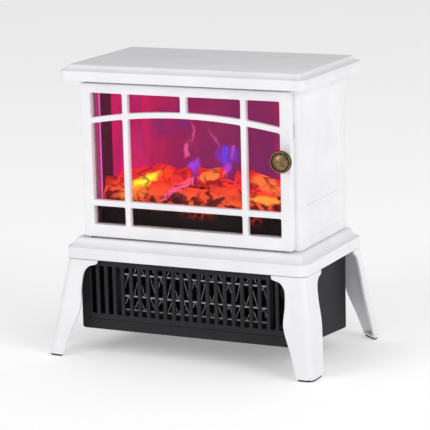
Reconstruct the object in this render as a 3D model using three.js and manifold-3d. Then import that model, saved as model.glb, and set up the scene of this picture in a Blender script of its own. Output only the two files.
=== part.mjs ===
// Free-standing electric fireplace heater: a firebox cabinet with an opening glazed door
// stands on a moulded plinth with four splayed legs, and a black heater housing with a
// cross-flow blower and a finned heating element hangs under the plinth.
// Millimetres, +Z up. The front looks along -Y. The origin lies on the floor, under the
// middle of the rectangle that the feet touch. Left is -X and right is +X.

import * as THREE from 'three';
import { mergeVertices } from 'three/addons/utils/BufferGeometryUtils.js';
import Module from 'manifold-3d';

const wasm = await Module();
wasm.setup();

// ---------------------------------------------------------------- driving dimensions
const GAP = 0.3; // clearance between neighbouring pieces
const TINY = 1; // overrun of a cutting solid past the face that it opens

// cabinet
const BODY_HALF = 120; // half of the cabinet's width
const BODY_FRONT = -52.75; // front face of the cabinet
const BODY_DEPTH = 121;
const BODY_BACK = BODY_FRONT + BODY_DEPTH;
const BODY_BOTTOM = 119.9;
const BODY_TOP = 281.6;
const WALL = 2.5; // moulded wall thickness
const FRAME_DEPTH = 8; // front to back depth of the front surround
const CORNER = 6; // radius of the cabinet's front corners

// lid and plinth mouldings
const LID = { halfX: 134.5, halfY: 77.8, midY: 5.2, bottom: 281.7, top: 297.7, corner: 9.8 };
const PLINTH = { halfX: 133.4, halfY: 76.25, midY: 3.25, bottom: 99, top: 119.6, corner: 10.4 };

// door
const DOOR_THICK = 8.9;
const DOOR_HALF = 115;
const DOOR_BOTTOM = 121.6;
const DOOR_TOP = 279;
const HINGE_X = -111.5;
const HINGE_Y = BODY_FRONT - GAP - DOOR_THICK / 2;
const PIN_R = 1.5;
const LIGHT_EDGE = 103.7; // outer edge of the outer lights
const MULLION_OUT = 67.8;
const MULLION_IN = 62;
const CENTRE_BAR = 3.3; // half width of the short centre mullion
const LIGHT_TOP = 269.4;
const ARCH_SPRING = 243.8; // upper edge of the arched bar at the outer lights
const ARCH_CROWN = 253.2;
const ARCH_THICK = 5.8;
const RAIL_TOP = 159.8;
const RAIL_BOTTOM = 153.6;
const LIGHT_BOTTOM = 134.4;
const PANE_LAP = 0.9; // overlap of the door's rebate round the outer lights
const REBATE = 2.6; // depth of the rebate that holds the pane
const PANE = 2;
const KNOB_X = 110.2;
const KNOB_Z = 213;
const KNOB_R = 11.3;
const KNOB_REACH = 17;
const KNOB_FOOT = 4; // the foot stands on the stile, clear of the light and of the door's edge
const KNOB_SCREW_HEAD = 3.4;

// firebox inside the cabinet
const SCREEN_FRONT = BODY_FRONT + 42;
const INNER_HALF = 108.5;
const INNER_TOP = 275.3;
const SPINDLE_Y = BODY_FRONT + 66;
const SPINDLE_Z = 165;

// legs
const LEG_TOP = 98.7;
const LEG_SOLE = 2;
const LEG_WALL = 2.6;
const LEG_CORNER = 9;
const FOOT_HALF_X = 147.5; // outer corner of a foot on the floor
const FOOT_HALF_Y = 92;
const LEG_TOP_X = 132.8; // outer corner of a leg under the plinth
const LEG_TOP_FRONT = BODY_FRONT - 19.75;
const LEG_TOP_BACK = BODY_BACK + 10.75;

// heater housing
const HOUSING_HALF = 121;
const HOUSING_FRONT = BODY_FRONT - 13.8;
const HOUSING_BACK = BODY_FRONT + 114;
const HOUSING_TOP = 108;
const HOUSING_LOW_FRONT = 25.4; // bottom face at the front
const HOUSING_LOW_BACK = 14.5; // bottom face at the back
const GRILLE = { half: 110.5, bottom: 36, top: 98 };
const SLOT = { count: 23, pitch: 9.5, width: 5.5, bottom: 42, top: 92.3 };
const ELEMENT_FRONT = BODY_FRONT + 6;
const ELEMENT_DEPTH = 14;
const ELEMENT_HALF = 82;
const FIN_THICK = 0.9;
const FAN_Y = BODY_FRONT + 62;
const FAN_Z = 66;
const FAN_R = 22;
const FAN_HALF = 84;

// switches on the back cover
const SWITCH_X = -55;
const SWITCH_Z = 215;
const SWITCH_PITCH = 16;
const ROCKER_TILT = THREE.MathUtils.degToRad(8);

// ---------------------------------------------------------------- materials
const finish = (color, roughness, metalness = 0) =>
  new THREE.MeshStandardMaterial({ color, roughness, metalness });

const whitePlastic = finish(0xeeedf0, 0.35);
const blackPlastic = finish(0x26242a, 0.5);
const greyPlastic = finish(0x8d8f94, 0.5);
const antiqueBrass = finish(0x7a6238, 0.35, 0.9);
const steel = finish(0xa9abb0, 0.4, 0.9);
const aluminium = finish(0xc4c6c8, 0.35, 0.9);
const clearGlass = finish(0xd9dde0, 0.05);
const darkMirror = finish(0x3a1226, 0.1);
const flameFilm = finish(0xb0307a, 0.4);
const emberResin = finish(0xd8501e, 0.6);
const boardGreen = finish(0x1f6b45, 0.6);
const rubber = finish(0x2b2b2e, 0.9);
const nylon = finish(0xe6dfcf, 0.6);

// ---------------------------------------------------------------- shape helpers
function solid(geometry) {
  const bare = geometry.clone();
  bare.deleteAttribute('normal');
  bare.deleteAttribute('uv');
  const merged = mergeVertices(bare, 1e-4);
  return new wasm.Manifold(new wasm.Mesh({
    numProp: 3,
    vertProperties: new Float32Array(merged.attributes.position.array),
    triVerts: new Uint32Array(merged.index.array),
  }));
}

function toGeometry(shape) {
  const mesh = shape.getMesh();
  const geometry = new THREE.BufferGeometry();
  geometry.setAttribute('position', new THREE.BufferAttribute(mesh.vertProperties, 3));
  geometry.setIndex(new THREE.BufferAttribute(mesh.triVerts, 1));
  return geometry;
}

// A box from its low and high corners.
function block(x0, x1, y0, y1, z0, z1) {
  const geometry = new THREE.BoxGeometry(x1 - x0, y1 - y0, z1 - z0);
  geometry.translate((x0 + x1) / 2, (y0 + y1) / 2, (z0 + z1) / 2);
  return solid(geometry);
}

const polygon = (points) => new THREE.Shape(points.map(([u, v]) => new THREE.Vector2(u, v)));

function extrusion(shape, depth, curveSegments) {
  return new THREE.ExtrudeGeometry(shape, { depth, bevelEnabled: false, curveSegments });
}

// Extrusions along each axis. The drawing plane is (x, y), (y, z) or (x, z).
function alongZ(shape, z0, z1, curveSegments = 2) {
  const geometry = extrusion(shape, z1 - z0, curveSegments);
  geometry.translate(0, 0, z0);
  return solid(geometry);
}

function alongX(shape, x0, x1, curveSegments = 2) {
  const geometry = extrusion(shape, x1 - x0, curveSegments);
  geometry.applyMatrix4(new THREE.Matrix4().set(0, 0, 1, x0, 1, 0, 0, 0, 0, 1, 0, 0, 0, 0, 0, 1));
  return solid(geometry);
}

function alongY(shape, y0, y1, curveSegments = 2) {
  const geometry = extrusion(shape, y1 - y0, curveSegments);
  geometry.applyMatrix4(new THREE.Matrix4().set(1, 0, 0, 0, 0, 0, -1, y1, 0, 1, 0, 0, 0, 0, 0, 1));
  return solid(geometry);
}

// Round bar along one axis, from a to b, through (p, q) of the two other axes in order.
function bar(axis, radius, a, b, p, q, sides = 16) {
  const geometry = new THREE.CylinderGeometry(radius, radius, b - a, sides);
  const middle = (a + b) / 2;
  if (axis === 'x') {
    geometry.rotateZ(Math.PI / 2);
    geometry.translate(middle, p, q);
  } else if (axis === 'y') {
    geometry.translate(p, middle, q);
  } else {
    geometry.rotateX(Math.PI / 2);
    geometry.translate(p, q, middle);
  }
  return solid(geometry);
}

// A turned piece: the profile is [radius, distance] pairs, turned about Y toward -Y.
function turned(profile, x, y, z, sides = 28) {
  const points = profile.map(([r, d]) => new THREE.Vector2(r, d));
  const geometry = new THREE.LatheGeometry(points, sides);
  geometry.rotateX(Math.PI);
  geometry.translate(x, y, z);
  return solid(geometry);
}

function roundedRectangle(halfX, halfY, radius, x = 0, y = 0) {
  const shape = new THREE.Shape();
  const right = x + halfX - radius;
  const left = x - halfX + radius;
  const high = y + halfY - radius;
  const low = y - halfY + radius;
  shape.absarc(right, low, radius, -Math.PI / 2, 0);
  shape.absarc(right, high, radius, 0, Math.PI / 2);
  shape.absarc(left, high, radius, Math.PI / 2, Math.PI);
  shape.absarc(left, low, radius, Math.PI, Math.PI * 1.5);
  shape.closePath();
  return shape;
}

// A moulded tray: a rounded rectangle swept up a profile of [inset, z] pairs.
function moulding(halfX, halfY, midY, radius, profile) {
  const levels = profile.length - 1;
  const geometry = new THREE.ExtrudeGeometry(roundedRectangle(halfX, halfY, radius), {
    depth: 1,
    steps: levels,
    bevelEnabled: false,
    curveSegments: 2,
  });
  const position = geometry.attributes.position;
  for (let i = 0; i < position.count; i += 1) {
    const [inset, z] = profile[Math.round(position.getZ(i) * levels)];
    const x = position.getX(i);
    const y = position.getY(i);
    const dx = (x - Math.sign(x) * (halfX - radius)) / radius;
    const dy = (y - Math.sign(y) * (halfY - radius)) / radius;
    position.setXYZ(i, x - dx * inset, y - dy * inset + midY, z);
  }
  return solid(geometry);
}

// A strip of sheet of even thickness that follows a polyline, on its left side.
function strip(points, thickness) {
  const side = points.map(([u, v], i) => {
    const [pu, pv] = points[Math.max(i - 1, 0)];
    const [nu, nv] = points[Math.min(i + 1, points.length - 1)];
    const length = Math.hypot(nu - pu, nv - pv);
    return [u - ((nv - pv) / length) * thickness, v + ((nu - pu) / length) * thickness];
  });
  return polygon([...points, ...side.reverse()]);
}

function arc(cu, cv, radius, from, to, steps) {
  return Array.from({ length: steps + 1 }, (_, i) => {
    const angle = THREE.MathUtils.degToRad(from + ((to - from) * i) / steps);
    return [cu + radius * Math.cos(angle), cv + radius * Math.sin(angle)];
  });
}

const union = (...shapes) => shapes.reduce((all, one) => all.add(one));
const cut = (base, ...tools) => tools.reduce((left, tool) => left.subtract(tool), base);

const fireplace = new THREE.Group();
fireplace.name = 'electric_fireplace';

function add(name, shape, material) {
  const mesh = new THREE.Mesh(toGeometry(shape), material);
  mesh.name = name;
  fireplace.add(mesh);
}

// ---------------------------------------------------------------- lid
function addLid() {
  const height = LID.top - LID.bottom;
  const profile = [
    [0.6, 0],
    [0, 0.7],
    [0, height - 5.9],
    [0.7, height - 5.3],
    [3.6, height - 4.7],
    [6.0, height - 3.4],
    [7.3, height - 1.5],
    [8.0, height - 0.5],
    [9.0, height],
  ].map(([inset, z]) => [inset, z + LID.bottom]);
  const outside = moulding(LID.halfX, LID.halfY, LID.midY, LID.corner, profile);
  const inside = moulding(LID.halfX - WALL, LID.halfY - WALL, LID.midY, LID.corner - WALL, [
    [0, LID.bottom - TINY],
    [0, LID.top - 6 - WALL],
    [5.5, LID.top - WALL],
  ]);
  add('lid', cut(outside, inside), whitePlastic);
  const deck = roundedRectangle(
    LID.halfX - WALL - GAP, LID.halfY - WALL - GAP, LID.corner - WALL, 0, LID.midY);
  add('top_deck', alongZ(deck, BODY_TOP + 0.4, BODY_TOP + 2.8), whitePlastic);
}

// ---------------------------------------------------------------- plinth
function addPlinth() {
  const profile = [
    [1.0, 0],
    [0.3, 0.8],
    [0, 2.0],
    [0, 11.5],
    [0.8, 12.1],
    [3.5, 13.0],
    [6.4, 15.0],
    [8.0, 17.7],
    [8.8, 19.6],
    [9.9, 20.6],
  ].map(([inset, z]) => [inset, z + PLINTH.bottom]);
  const outside = moulding(PLINTH.halfX, PLINTH.halfY, PLINTH.midY, PLINTH.corner,
    profile);
  const inside = moulding(PLINTH.halfX - WALL, PLINTH.halfY - WALL, PLINTH.midY, PLINTH.corner - WALL, [
    [0.2, PLINTH.bottom - TINY],
    [0.2, PLINTH.bottom + 9],
    [7.4, PLINTH.top - WALL],
  ]);
  add('plinth', cut(outside, inside), whitePlastic);
}

// ---------------------------------------------------------------- cabinet
function addCabinet() {
  const y0 = BODY_FRONT;
  const y1 = BODY_FRONT + FRAME_DEPTH;
  const plan = new THREE.Shape();
  plan.moveTo(BODY_HALF, y1);
  plan.lineTo(-BODY_HALF, y1);
  plan.absarc(-BODY_HALF + CORNER, y0 + CORNER, CORNER, Math.PI, Math.PI * 1.5);
  plan.absarc(BODY_HALF - CORNER, y0 + CORNER, CORNER, -Math.PI / 2, 0);
  plan.closePath();
  const notchX = [-116.8, -108.7];
  add('front_surround', cut(
    alongZ(plan, BODY_BOTTOM, BODY_TOP),
    block(-109, 109, y0 - TINY, y1 + TINY, 129, 274.5),
    block(...notchX, y0 - TINY, y1 + TINY, 279.5, BODY_TOP + TINY),
    block(...notchX, y0 - TINY, y1 + TINY, BODY_BOTTOM - TINY, 122.1),
    block(110.4, 115.5, y0 - TINY, y1 + TINY, 232.4, 247.6),
  ), whitePlastic);

  for (const [side, name] of [[-1, 'left_side_panel'], [1, 'right_side_panel']]) {
    const outer = side * BODY_HALF;
    const inner = side * (BODY_HALF - WALL);
    const face = side * (BODY_HALF - 0.7);
    const past = side * (BODY_HALF + TINY);
    const recess = (za, zb) => block(Math.min(face, past), Math.max(face, past),
      BODY_FRONT + 15, BODY_FRONT + 103, za, zb);
    add(name, cut(
      block(Math.min(outer, inner), Math.max(outer, inner), y1 + GAP, BODY_BACK - WALL - GAP,
        BODY_BOTTOM, BODY_TOP),
      recess(163, 272),
      recess(129, 158),
    ), whitePlastic);
  }

  const ventSlots = [];
  for (let i = 0; i < 14; i += 1) {
    const x = -58.5 + i * 9;
    ventSlots.push(block(x - 2, x + 2, BODY_BACK - WALL - TINY, BODY_BACK + TINY, 240, 266));
    ventSlots.push(block(x - 2, x + 2, BODY_BACK - WALL - TINY, BODY_BACK + TINY, 132, 158));
  }
  add('back_cover', cut(
    block(-BODY_HALF, BODY_HALF, BODY_BACK - WALL, BODY_BACK, BODY_BOTTOM, BODY_TOP),
    block(SWITCH_X - 25.3, SWITCH_X + 25.3, BODY_BACK - WALL - TINY, BODY_BACK + TINY,
      SWITCH_Z - 9.8, SWITCH_Z + 9.8),
    ...ventSlots,
  ), whitePlastic);
}

// ---------------------------------------------------------------- door
const arch = (x) => ARCH_SPRING + (ARCH_CROWN - ARCH_SPRING) * (1 - (x / LIGHT_EDGE) ** 2);

function lightOverArch(x0, x1) {
  const steps = 4;
  const edge = Array.from({ length: steps + 1 }, (_, i) => x0 + ((x1 - x0) * i) / steps);
  return polygon([...edge.map((x) => [x, arch(x)]), [x1, LIGHT_TOP], [x0, LIGHT_TOP]]);
}

function lightUnderArch(x0, x1) {
  const steps = x1 - x0 > 60 ? 8 : 3;
  const edge = Array.from({ length: steps + 1 }, (_, i) => x1 + ((x0 - x1) * i) / steps);
  return polygon([[x0, RAIL_TOP], [x1, RAIL_TOP], ...edge.map((x) => [x, arch(x) - ARCH_THICK])]);
}

function addDoor() {
  const front = BODY_FRONT - GAP - DOOR_THICK;
  const back = BODY_FRONT - GAP;
  const plan = polygon([
    [-DOOR_HALF + 3.5, back],
    [-DOOR_HALF, back - 3.5],
    [-DOOR_HALF, front + 2.5],
    [-DOOR_HALF + 0.8, front + 0.8],
    [-DOOR_HALF + 2.5, front],
    [DOOR_HALF - 2.5, front],
    [DOOR_HALF - 0.8, front + 0.8],
    [DOOR_HALF, front + 2.5],
    [DOOR_HALF, back - 1],
    [DOOR_HALF - 1, back],
  ]);
  const lights = [
    lightOverArch(-LIGHT_EDGE, -MULLION_OUT),
    lightOverArch(-MULLION_IN, -CENTRE_BAR),
    lightOverArch(CENTRE_BAR, MULLION_IN),
    lightOverArch(MULLION_OUT, LIGHT_EDGE),
    lightUnderArch(-LIGHT_EDGE, -MULLION_OUT),
    lightUnderArch(-MULLION_IN, MULLION_IN),
    lightUnderArch(MULLION_OUT, LIGHT_EDGE),
  ].map((shape) => alongY(shape, front - TINY, back + TINY));
  for (const [x0, x1] of [[-LIGHT_EDGE, -MULLION_OUT], [-MULLION_IN, MULLION_IN],
    [MULLION_OUT, LIGHT_EDGE]]) {
    lights.push(block(x0, x1, front - TINY, back + TINY, LIGHT_BOTTOM, RAIL_BOTTOM));
  }
  const boreR = PIN_R + GAP;
  add('door_frame', cut(
    alongZ(plan, DOOR_BOTTOM, DOOR_TOP),
    ...lights,
    block(-LIGHT_EDGE - PANE_LAP, LIGHT_EDGE + PANE_LAP, back - REBATE, back + TINY,
      LIGHT_BOTTOM - PANE_LAP, LIGHT_TOP + PANE_LAP),
    bar('z', boreR, 270, DOOR_TOP + TINY, HINGE_X, HINGE_Y),
    bar('z', boreR, DOOR_BOTTOM - TINY, 132, HINGE_X, HINGE_Y),
    bar('y', 2 + GAP, front - TINY, back + TINY, KNOB_X, KNOB_Z),
    bar('y', KNOB_SCREW_HEAD + GAP, back - REBATE, back + TINY, KNOB_X, KNOB_Z),
    block(110, 114, back - 1.3, back + TINY, 232.7, 247.3),
  ), whitePlastic);

  const lap = PANE_LAP - GAP;
  add('door_glass', block(-LIGHT_EDGE - lap, LIGHT_EDGE + lap, back - GAP - PANE, back - GAP,
    LIGHT_BOTTOM - lap, LIGHT_TOP + lap), clearGlass);
  add('glass_retainer', cut(
    block(-107.5, 107.5, BODY_FRONT, BODY_FRONT + 1.2, 130.5, 273),
    block(-LIGHT_EDGE, LIGHT_EDGE, BODY_FRONT - TINY, BODY_FRONT + 2, LIGHT_BOTTOM, LIGHT_TOP),
  ), steel);
  add('strike_plate', block(110.3, 113.7, back - 1, back, 233, 247), steel);
  add('door_magnet', block(110.7, 115.2, BODY_FRONT, BODY_FRONT + 7.5, 232.7, 247.3), greyPlastic);

  const knobBase = front - GAP;
  add('door_knob', cut(
    turned([
      [0, 0], [KNOB_FOOT, 0], [KNOB_FOOT, 6], [5.2, 8.6], [9.6, 10.2], [10.9, 11.4],
      [KNOB_R, 12.9], [10.9, 14.4], [9.9, 14.9], [8.9, 14.5], [7.6, 15.3], [5.2, 16.3],
      [2.6, 16.8], [0, KNOB_REACH],
    ], KNOB_X, knobBase, KNOB_Z),
    bar('y', 2 + GAP, knobBase - 7.3, knobBase + TINY, KNOB_X, KNOB_Z),
  ), antiqueBrass);
  add('knob_screw', union(
    bar('y', 2, knobBase - 7, back - 1.5, KNOB_X, KNOB_Z),
    bar('y', KNOB_SCREW_HEAD, back - 2.2, back - GAP, KNOB_X, KNOB_Z),
  ), steel);
}

function addHinges() {
  const plateFront = BODY_FRONT - 7.5;
  const flangeFront = BODY_FRONT + FRAME_DEPTH + GAP;
  const thick = 1.1;
  for (const [name, plateLow, flangeLow, flangeHigh, pinLow, pinHigh] of [
    ['upper', 279.8, 268, 281, 270.4, 281.3],
    ['lower', 120.1, 120.1, 133, 119.9, 131.6],
  ]) {
    add(`${name}_hinge_bracket`, cut(
      union(
        block(-116.5, -109, plateFront, flangeFront + thick, plateLow, plateLow + thick),
        block(-116.5, -109, flangeFront, flangeFront + thick, flangeLow, flangeHigh),
      ),
      bar('z', PIN_R + GAP, plateLow - TINY, plateLow + thick + TINY, HINGE_X, HINGE_Y),
    ), steel);
    add(`${name}_hinge_pin`, bar('z', PIN_R, pinLow, pinHigh, HINGE_X, HINGE_Y), steel);
  }
}

// ---------------------------------------------------------------- firebox
function addFirebox() {
  const wallFront = BODY_FRONT + FRAME_DEPTH + GAP;
  const wallBack = SCREEN_FRONT - GAP;
  for (const [side, name] of [[-1, 'firebox_left_wall'], [1, 'firebox_right_wall']]) {
    const a = side * INNER_HALF;
    const b = side * (INNER_HALF - 1.5);
    add(name, block(Math.min(a, b), Math.max(a, b), wallFront, wallBack, 120, 273.5), darkMirror);
  }
  add('firebox_ceiling', block(-INNER_HALF, INNER_HALF, wallFront, wallBack, 273.8, INNER_TOP),
    blackPlastic);
  add('flame_screen', block(-INNER_HALF, INNER_HALF, SCREEN_FRONT, SCREEN_FRONT + 2, 120,
    INNER_TOP), flameFilm);

  const bedHalf = 106;
  const bed = (grow) => {
    const y = (d) => BODY_FRONT + d;
    return [
      [y(10 - grow), 120.2], [y(10 - grow), 140 + grow], [y(15), 151 + grow],
      [y(25), 160 + grow], [y(41.3 + grow), 171 + grow], [y(41.3 + grow), 120.2],
    ];
  };
  const bedHollow = polygon([
    [BODY_FRONT + 12, 119], [BODY_FRONT + 12, 138.8], [BODY_FRONT + 16.4, 149],
    [BODY_FRONT + 26, 157.6], [BODY_FRONT + 39.3, 167], [BODY_FRONT + 39.3, 119],
  ]);
  add('ember_bed', cut(
    alongX(polygon(bed(0)), -bedHalf, bedHalf),
    alongX(bedHollow, -bedHalf + 2, bedHalf - 2),
  ), emberResin);

  const log = (length, radius, x, y, z, yaw, roll) => {
    const geometry = new THREE.CylinderGeometry(radius, radius * 0.88, length, 9, 1);
    geometry.rotateZ(Math.PI / 2);
    geometry.rotateY(roll);
    geometry.rotateZ(yaw);
    geometry.translate(x, BODY_FRONT + y, z);
    return solid(geometry);
  };
  const pile = union(
    log(96, 9, -45, 27.5, 171, 0.08, 0.06),
    log(92, 10, 34, 26, 172, -0.06, -0.1),
    log(62, 7.5, -2, 29, 183.5, 0.12, 0.22),
    log(44, 7, 74, 28, 176, 0.05, 0.3),
  );
  const room = block(-104, 104, BODY_FRONT + 11, BODY_FRONT + 41, 150, 200);
  add('log_set', cut(pile, alongX(polygon(bed(GAP)), -bedHalf - 5, bedHalf + 5)).intersect(room),
    emberResin);

  add('ember_led_board', block(-90, 90, BODY_FRONT + 20, BODY_FRONT + 30, 119.9, 121.5),
    boardGreen);
  add('flame_led_board', block(-74, 84, BODY_FRONT + 56, BODY_FRONT + 68, 119.9, 121.5),
    boardGreen);
}

// Rotating flicker spindle with its cut-out mask, motor, stands and bush.
function addFlicker() {
  const maskFront = SCREEN_FRONT + 3.5;
  const flame = (x, base, height, lean) => {
    const shape = new THREE.Shape();
    shape.moveTo(x - 7, base);
    shape.quadraticCurveTo(x - 12, base + height * 0.45, x + lean, base + height);
    shape.quadraticCurveTo(x + 10, base + height * 0.4, x + 7, base);
    shape.closePath();
    return alongY(shape, maskFront - TINY, maskFront + 2);
  };
  const flames = [];
  for (let i = 0; i < 7; i += 1) {
    flames.push(flame(-84 + i * 28, 158, 70 - 9 * Math.abs(i - 3) + 12 * (i % 2), i % 2 ? 6 : -5));
  }
  add('flame_mask', cut(
    block(-105, 105, maskFront, maskFront + 0.8, 119.9, 262), ...flames,
  ), aluminium);

  const shaft = bar('x', PIN_R, -87.7, 97, SPINDLE_Y, SPINDLE_Z, 12);
  const tabs = [];
  for (let i = 0; i < 12; i += 1) {
    const geometry = new THREE.BoxGeometry(11, 0.8, 12.5);
    geometry.translate(0, 0, 6.25);
    geometry.rotateX(THREE.MathUtils.degToRad(i * 75));
    geometry.translate(-76 + i * 14, SPINDLE_Y, SPINDLE_Z);
    tabs.push(solid(geometry));
  }
  add('flame_spindle', union(shaft, ...tabs), aluminium);
  add('spindle_motor', bar('x', 17, -104, -88, SPINDLE_Y, SPINDLE_Z, 24), steel);

  const stand = (x, hole) => cut(
    union(
      block(x, x + 1.2, SPINDLE_Y - 12, SPINDLE_Y + 12, 119.9, SPINDLE_Z + 12),
      block(x, x + 12, SPINDLE_Y - 12, SPINDLE_Y + 12, 119.9, 121.1),
    ),
    bar('x', hole, x - TINY, x + 2, SPINDLE_Y, SPINDLE_Z),
  );
  add('spindle_motor_stand', stand(-87.4, PIN_R + 1), steel);
  add('spindle_end_stand', stand(93, 4.3), steel);
  add('spindle_bush', cut(
    bar('x', 4, 92, 96, SPINDLE_Y, SPINDLE_Z),
    bar('x', PIN_R + GAP, 91, 97, SPINDLE_Y, SPINDLE_Z, 12),
  ), nylon);
}

// ---------------------------------------------------------------- controls
function addControls() {
  const board = BODY_BACK - WALL - 8;
  add('control_board', union(
    block(14, 86, board - 1.6, board, 176, 228),
    block(20, 38, board - 16, board - 1, 182, 198),
    block(42, 60, board - 16, board - 1, 182, 198),
    bar('y', 7, board - 14, board - 1, 74, 210, 14),
  ), boardGreen);

  const windows = [-1, 0, 1].map((i) => {
    const x = SWITCH_X + i * SWITCH_PITCH;
    return block(x - 6.9, x + 6.9, BODY_BACK - 12, BODY_BACK + 5, SWITCH_Z - 8, SWITCH_Z + 8);
  });
  add('switch_bezel', cut(
    union(
      block(SWITCH_X - 28, SWITCH_X + 28, BODY_BACK + GAP, BODY_BACK + 1.8,
        SWITCH_Z - 12, SWITCH_Z + 12),
      block(SWITCH_X - 25, SWITCH_X + 25, BODY_BACK - 9, BODY_BACK + 1,
        SWITCH_Z - 9.5, SWITCH_Z + 9.5),
    ),
    ...windows,
  ), blackPlastic);

  const rockerProfile = polygon([
    [-4, -4], [-1, -7], [4.2, -7], [2.6, 0], [4.2, 7], [-1, 7], [-4, 4],
  ]);
  ['flame_switch', 'low_heat_switch', 'high_heat_switch'].forEach((name, i) => {
    const x = SWITCH_X + (1 - i) * SWITCH_PITCH;
    const geometry = toGeometry(alongX(rockerProfile, x - 6.4, x + 6.4));
    geometry.rotateX(-ROCKER_TILT);
    geometry.translate(0, BODY_BACK + 0.2, SWITCH_Z);
    add(name, solid(geometry), blackPlastic);
  });
}

// ---------------------------------------------------------------- heater housing
// The flat bottom rises toward the front.
const housingFloor = (y) => HOUSING_LOW_FRONT
  + ((y - HOUSING_FRONT) / (HOUSING_BACK - HOUSING_FRONT)) * (HOUSING_LOW_BACK - HOUSING_LOW_FRONT);

function addHousing() {
  const side = polygon([
    [HOUSING_FRONT, HOUSING_TOP],
    [HOUSING_FRONT, HOUSING_LOW_FRONT + 2],
    [HOUSING_FRONT + 2, HOUSING_LOW_FRONT],
    [HOUSING_BACK - 3, housingFloor(HOUSING_BACK - 3)],
    [HOUSING_BACK, HOUSING_LOW_BACK + 3],
    [HOUSING_BACK, HOUSING_TOP],
  ]);
  const planAt = (grow) => {
    const shape = new THREE.Shape();
    const half = HOUSING_HALF - grow;
    const front = HOUSING_FRONT + grow;
    const radius = 6 - grow;
    shape.moveTo(half, HOUSING_BACK + TINY);
    shape.lineTo(-half, HOUSING_BACK + TINY);
    shape.absarc(-half + radius, front + radius, radius, Math.PI, Math.PI * 1.5);
    shape.absarc(half - radius, front + radius, radius, -Math.PI / 2, 0);
    shape.closePath();
    return shape;
  };
  const inside = polygon([
    [HOUSING_FRONT + WALL, HOUSING_TOP + TINY],
    [HOUSING_FRONT + WALL, housingFloor(HOUSING_FRONT) + WALL],
    [HOUSING_BACK + TINY, housingFloor(HOUSING_BACK) + WALL],
    [HOUSING_BACK + TINY, HOUSING_TOP + TINY],
  ]);
  const shell = alongX(side, -HOUSING_HALF, HOUSING_HALF).intersect(alongZ(planAt(0), 0, 120));
  const hollow = alongX(inside, -HOUSING_HALF, HOUSING_HALF).intersect(alongZ(planAt(WALL), 0, 120));
  add('heater_housing', cut(
    shell,
    hollow,
    block(-GRILLE.half, GRILLE.half, HOUSING_FRONT - TINY, HOUSING_FRONT + WALL + TINY,
      GRILLE.bottom, GRILLE.top),
  ), blackPlastic);

  const slots = [];
  for (let i = 0; i < SLOT.count; i += 1) {
    const x = (i - (SLOT.count - 1) / 2) * SLOT.pitch;
    slots.push(block(x - SLOT.width / 2, x + SLOT.width / 2, HOUSING_FRONT - TINY,
      HOUSING_FRONT + 4, SLOT.bottom, SLOT.top));
  }
  add('outlet_grille', cut(
    block(-GRILLE.half + GAP, GRILLE.half - GAP, HOUSING_FRONT, HOUSING_FRONT + WALL,
      GRILLE.bottom + GAP, GRILLE.top - GAP),
    ...slots,
  ), blackPlastic);

  const coverFront = HOUSING_BACK - WALL;
  const intake = [];
  for (let i = 0; i < 9; i += 1) {
    const z = 36 + i * 7;
    intake.push(block(-84, -2, coverFront - TINY, HOUSING_BACK + TINY, z - 1.8, z + 1.8));
    intake.push(block(2, 84, coverFront - TINY, HOUSING_BACK + TINY, z - 1.8, z + 1.8));
  }
  const glandX = 100;
  const glandZ = 34;
  add('housing_rear_cover', cut(
    block(-HOUSING_HALF + WALL + GAP, HOUSING_HALF - WALL - GAP, coverFront, HOUSING_BACK,
      18.2, HOUSING_TOP - GAP),
    ...intake,
    bar('y', 6.3, coverFront - TINY, HOUSING_BACK + TINY, glandX, glandZ),
  ), blackPlastic);
  add('cord_gland', cut(
    union(
      bar('y', 6, coverFront - 4, HOUSING_BACK + 1, glandX, glandZ),
      bar('y', 8.5, HOUSING_BACK + GAP, HOUSING_BACK + 3.3, glandX, glandZ, 20),
    ),
    bar('y', 3.6, coverFront - 5, HOUSING_BACK + 4, glandX, glandZ),
  ), rubber);
  add('tilt_switch', block(-106, -92, BODY_FRONT + 82, BODY_FRONT + 96, 21, 38), nylon);
}

// ---------------------------------------------------------------- heating element
function addElement() {
  const y0 = ELEMENT_FRONT;
  const y1 = ELEMENT_FRONT + ELEMENT_DEPTH;
  const rails = [43, 57.7, 80.5, 94].map((z) => block(
    -ELEMENT_HALF, ELEMENT_HALF, y0 + (z === 43 || z === 94 ? 1 : 0), y1, z - 1.3, z + 1.3));
  const fins = [[43, 57.7], [57.7, 80.5], [80.5, 94]].map(([low, high]) => {
    const count = 26;
    const pitch = (ELEMENT_HALF * 2) / count;
    const edge = [];
    for (let i = 0; i <= count; i += 1) {
      edge.push([-ELEMENT_HALF + i * pitch, i % 2 ? high : low]);
    }
    const under = edge.map(([x, z]) => [x, z - FIN_THICK]);
    return alongY(polygon([...under, ...edge.reverse()]), y0 + 1, y1 - 1);
  });
  add('ptc_element', union(...rails, ...fins), aluminium);
  add('element_frame', cut(
    block(-88, 88, y0 - 2, y1 + 2, 38, 99),
    block(-ELEMENT_HALF - GAP, ELEMENT_HALF + GAP, y0 - 4, y1 + 4, 41.2, 95.8),
  ), blackPlastic);
  add('thermal_cutout', union(
    bar('z', 7, 99.3, 106, 40, y0 + 7, 16),
    block(29, 51, y0 + 3, y0 + 11, 99.3, 100.3),
  ), nylon);
}

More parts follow.
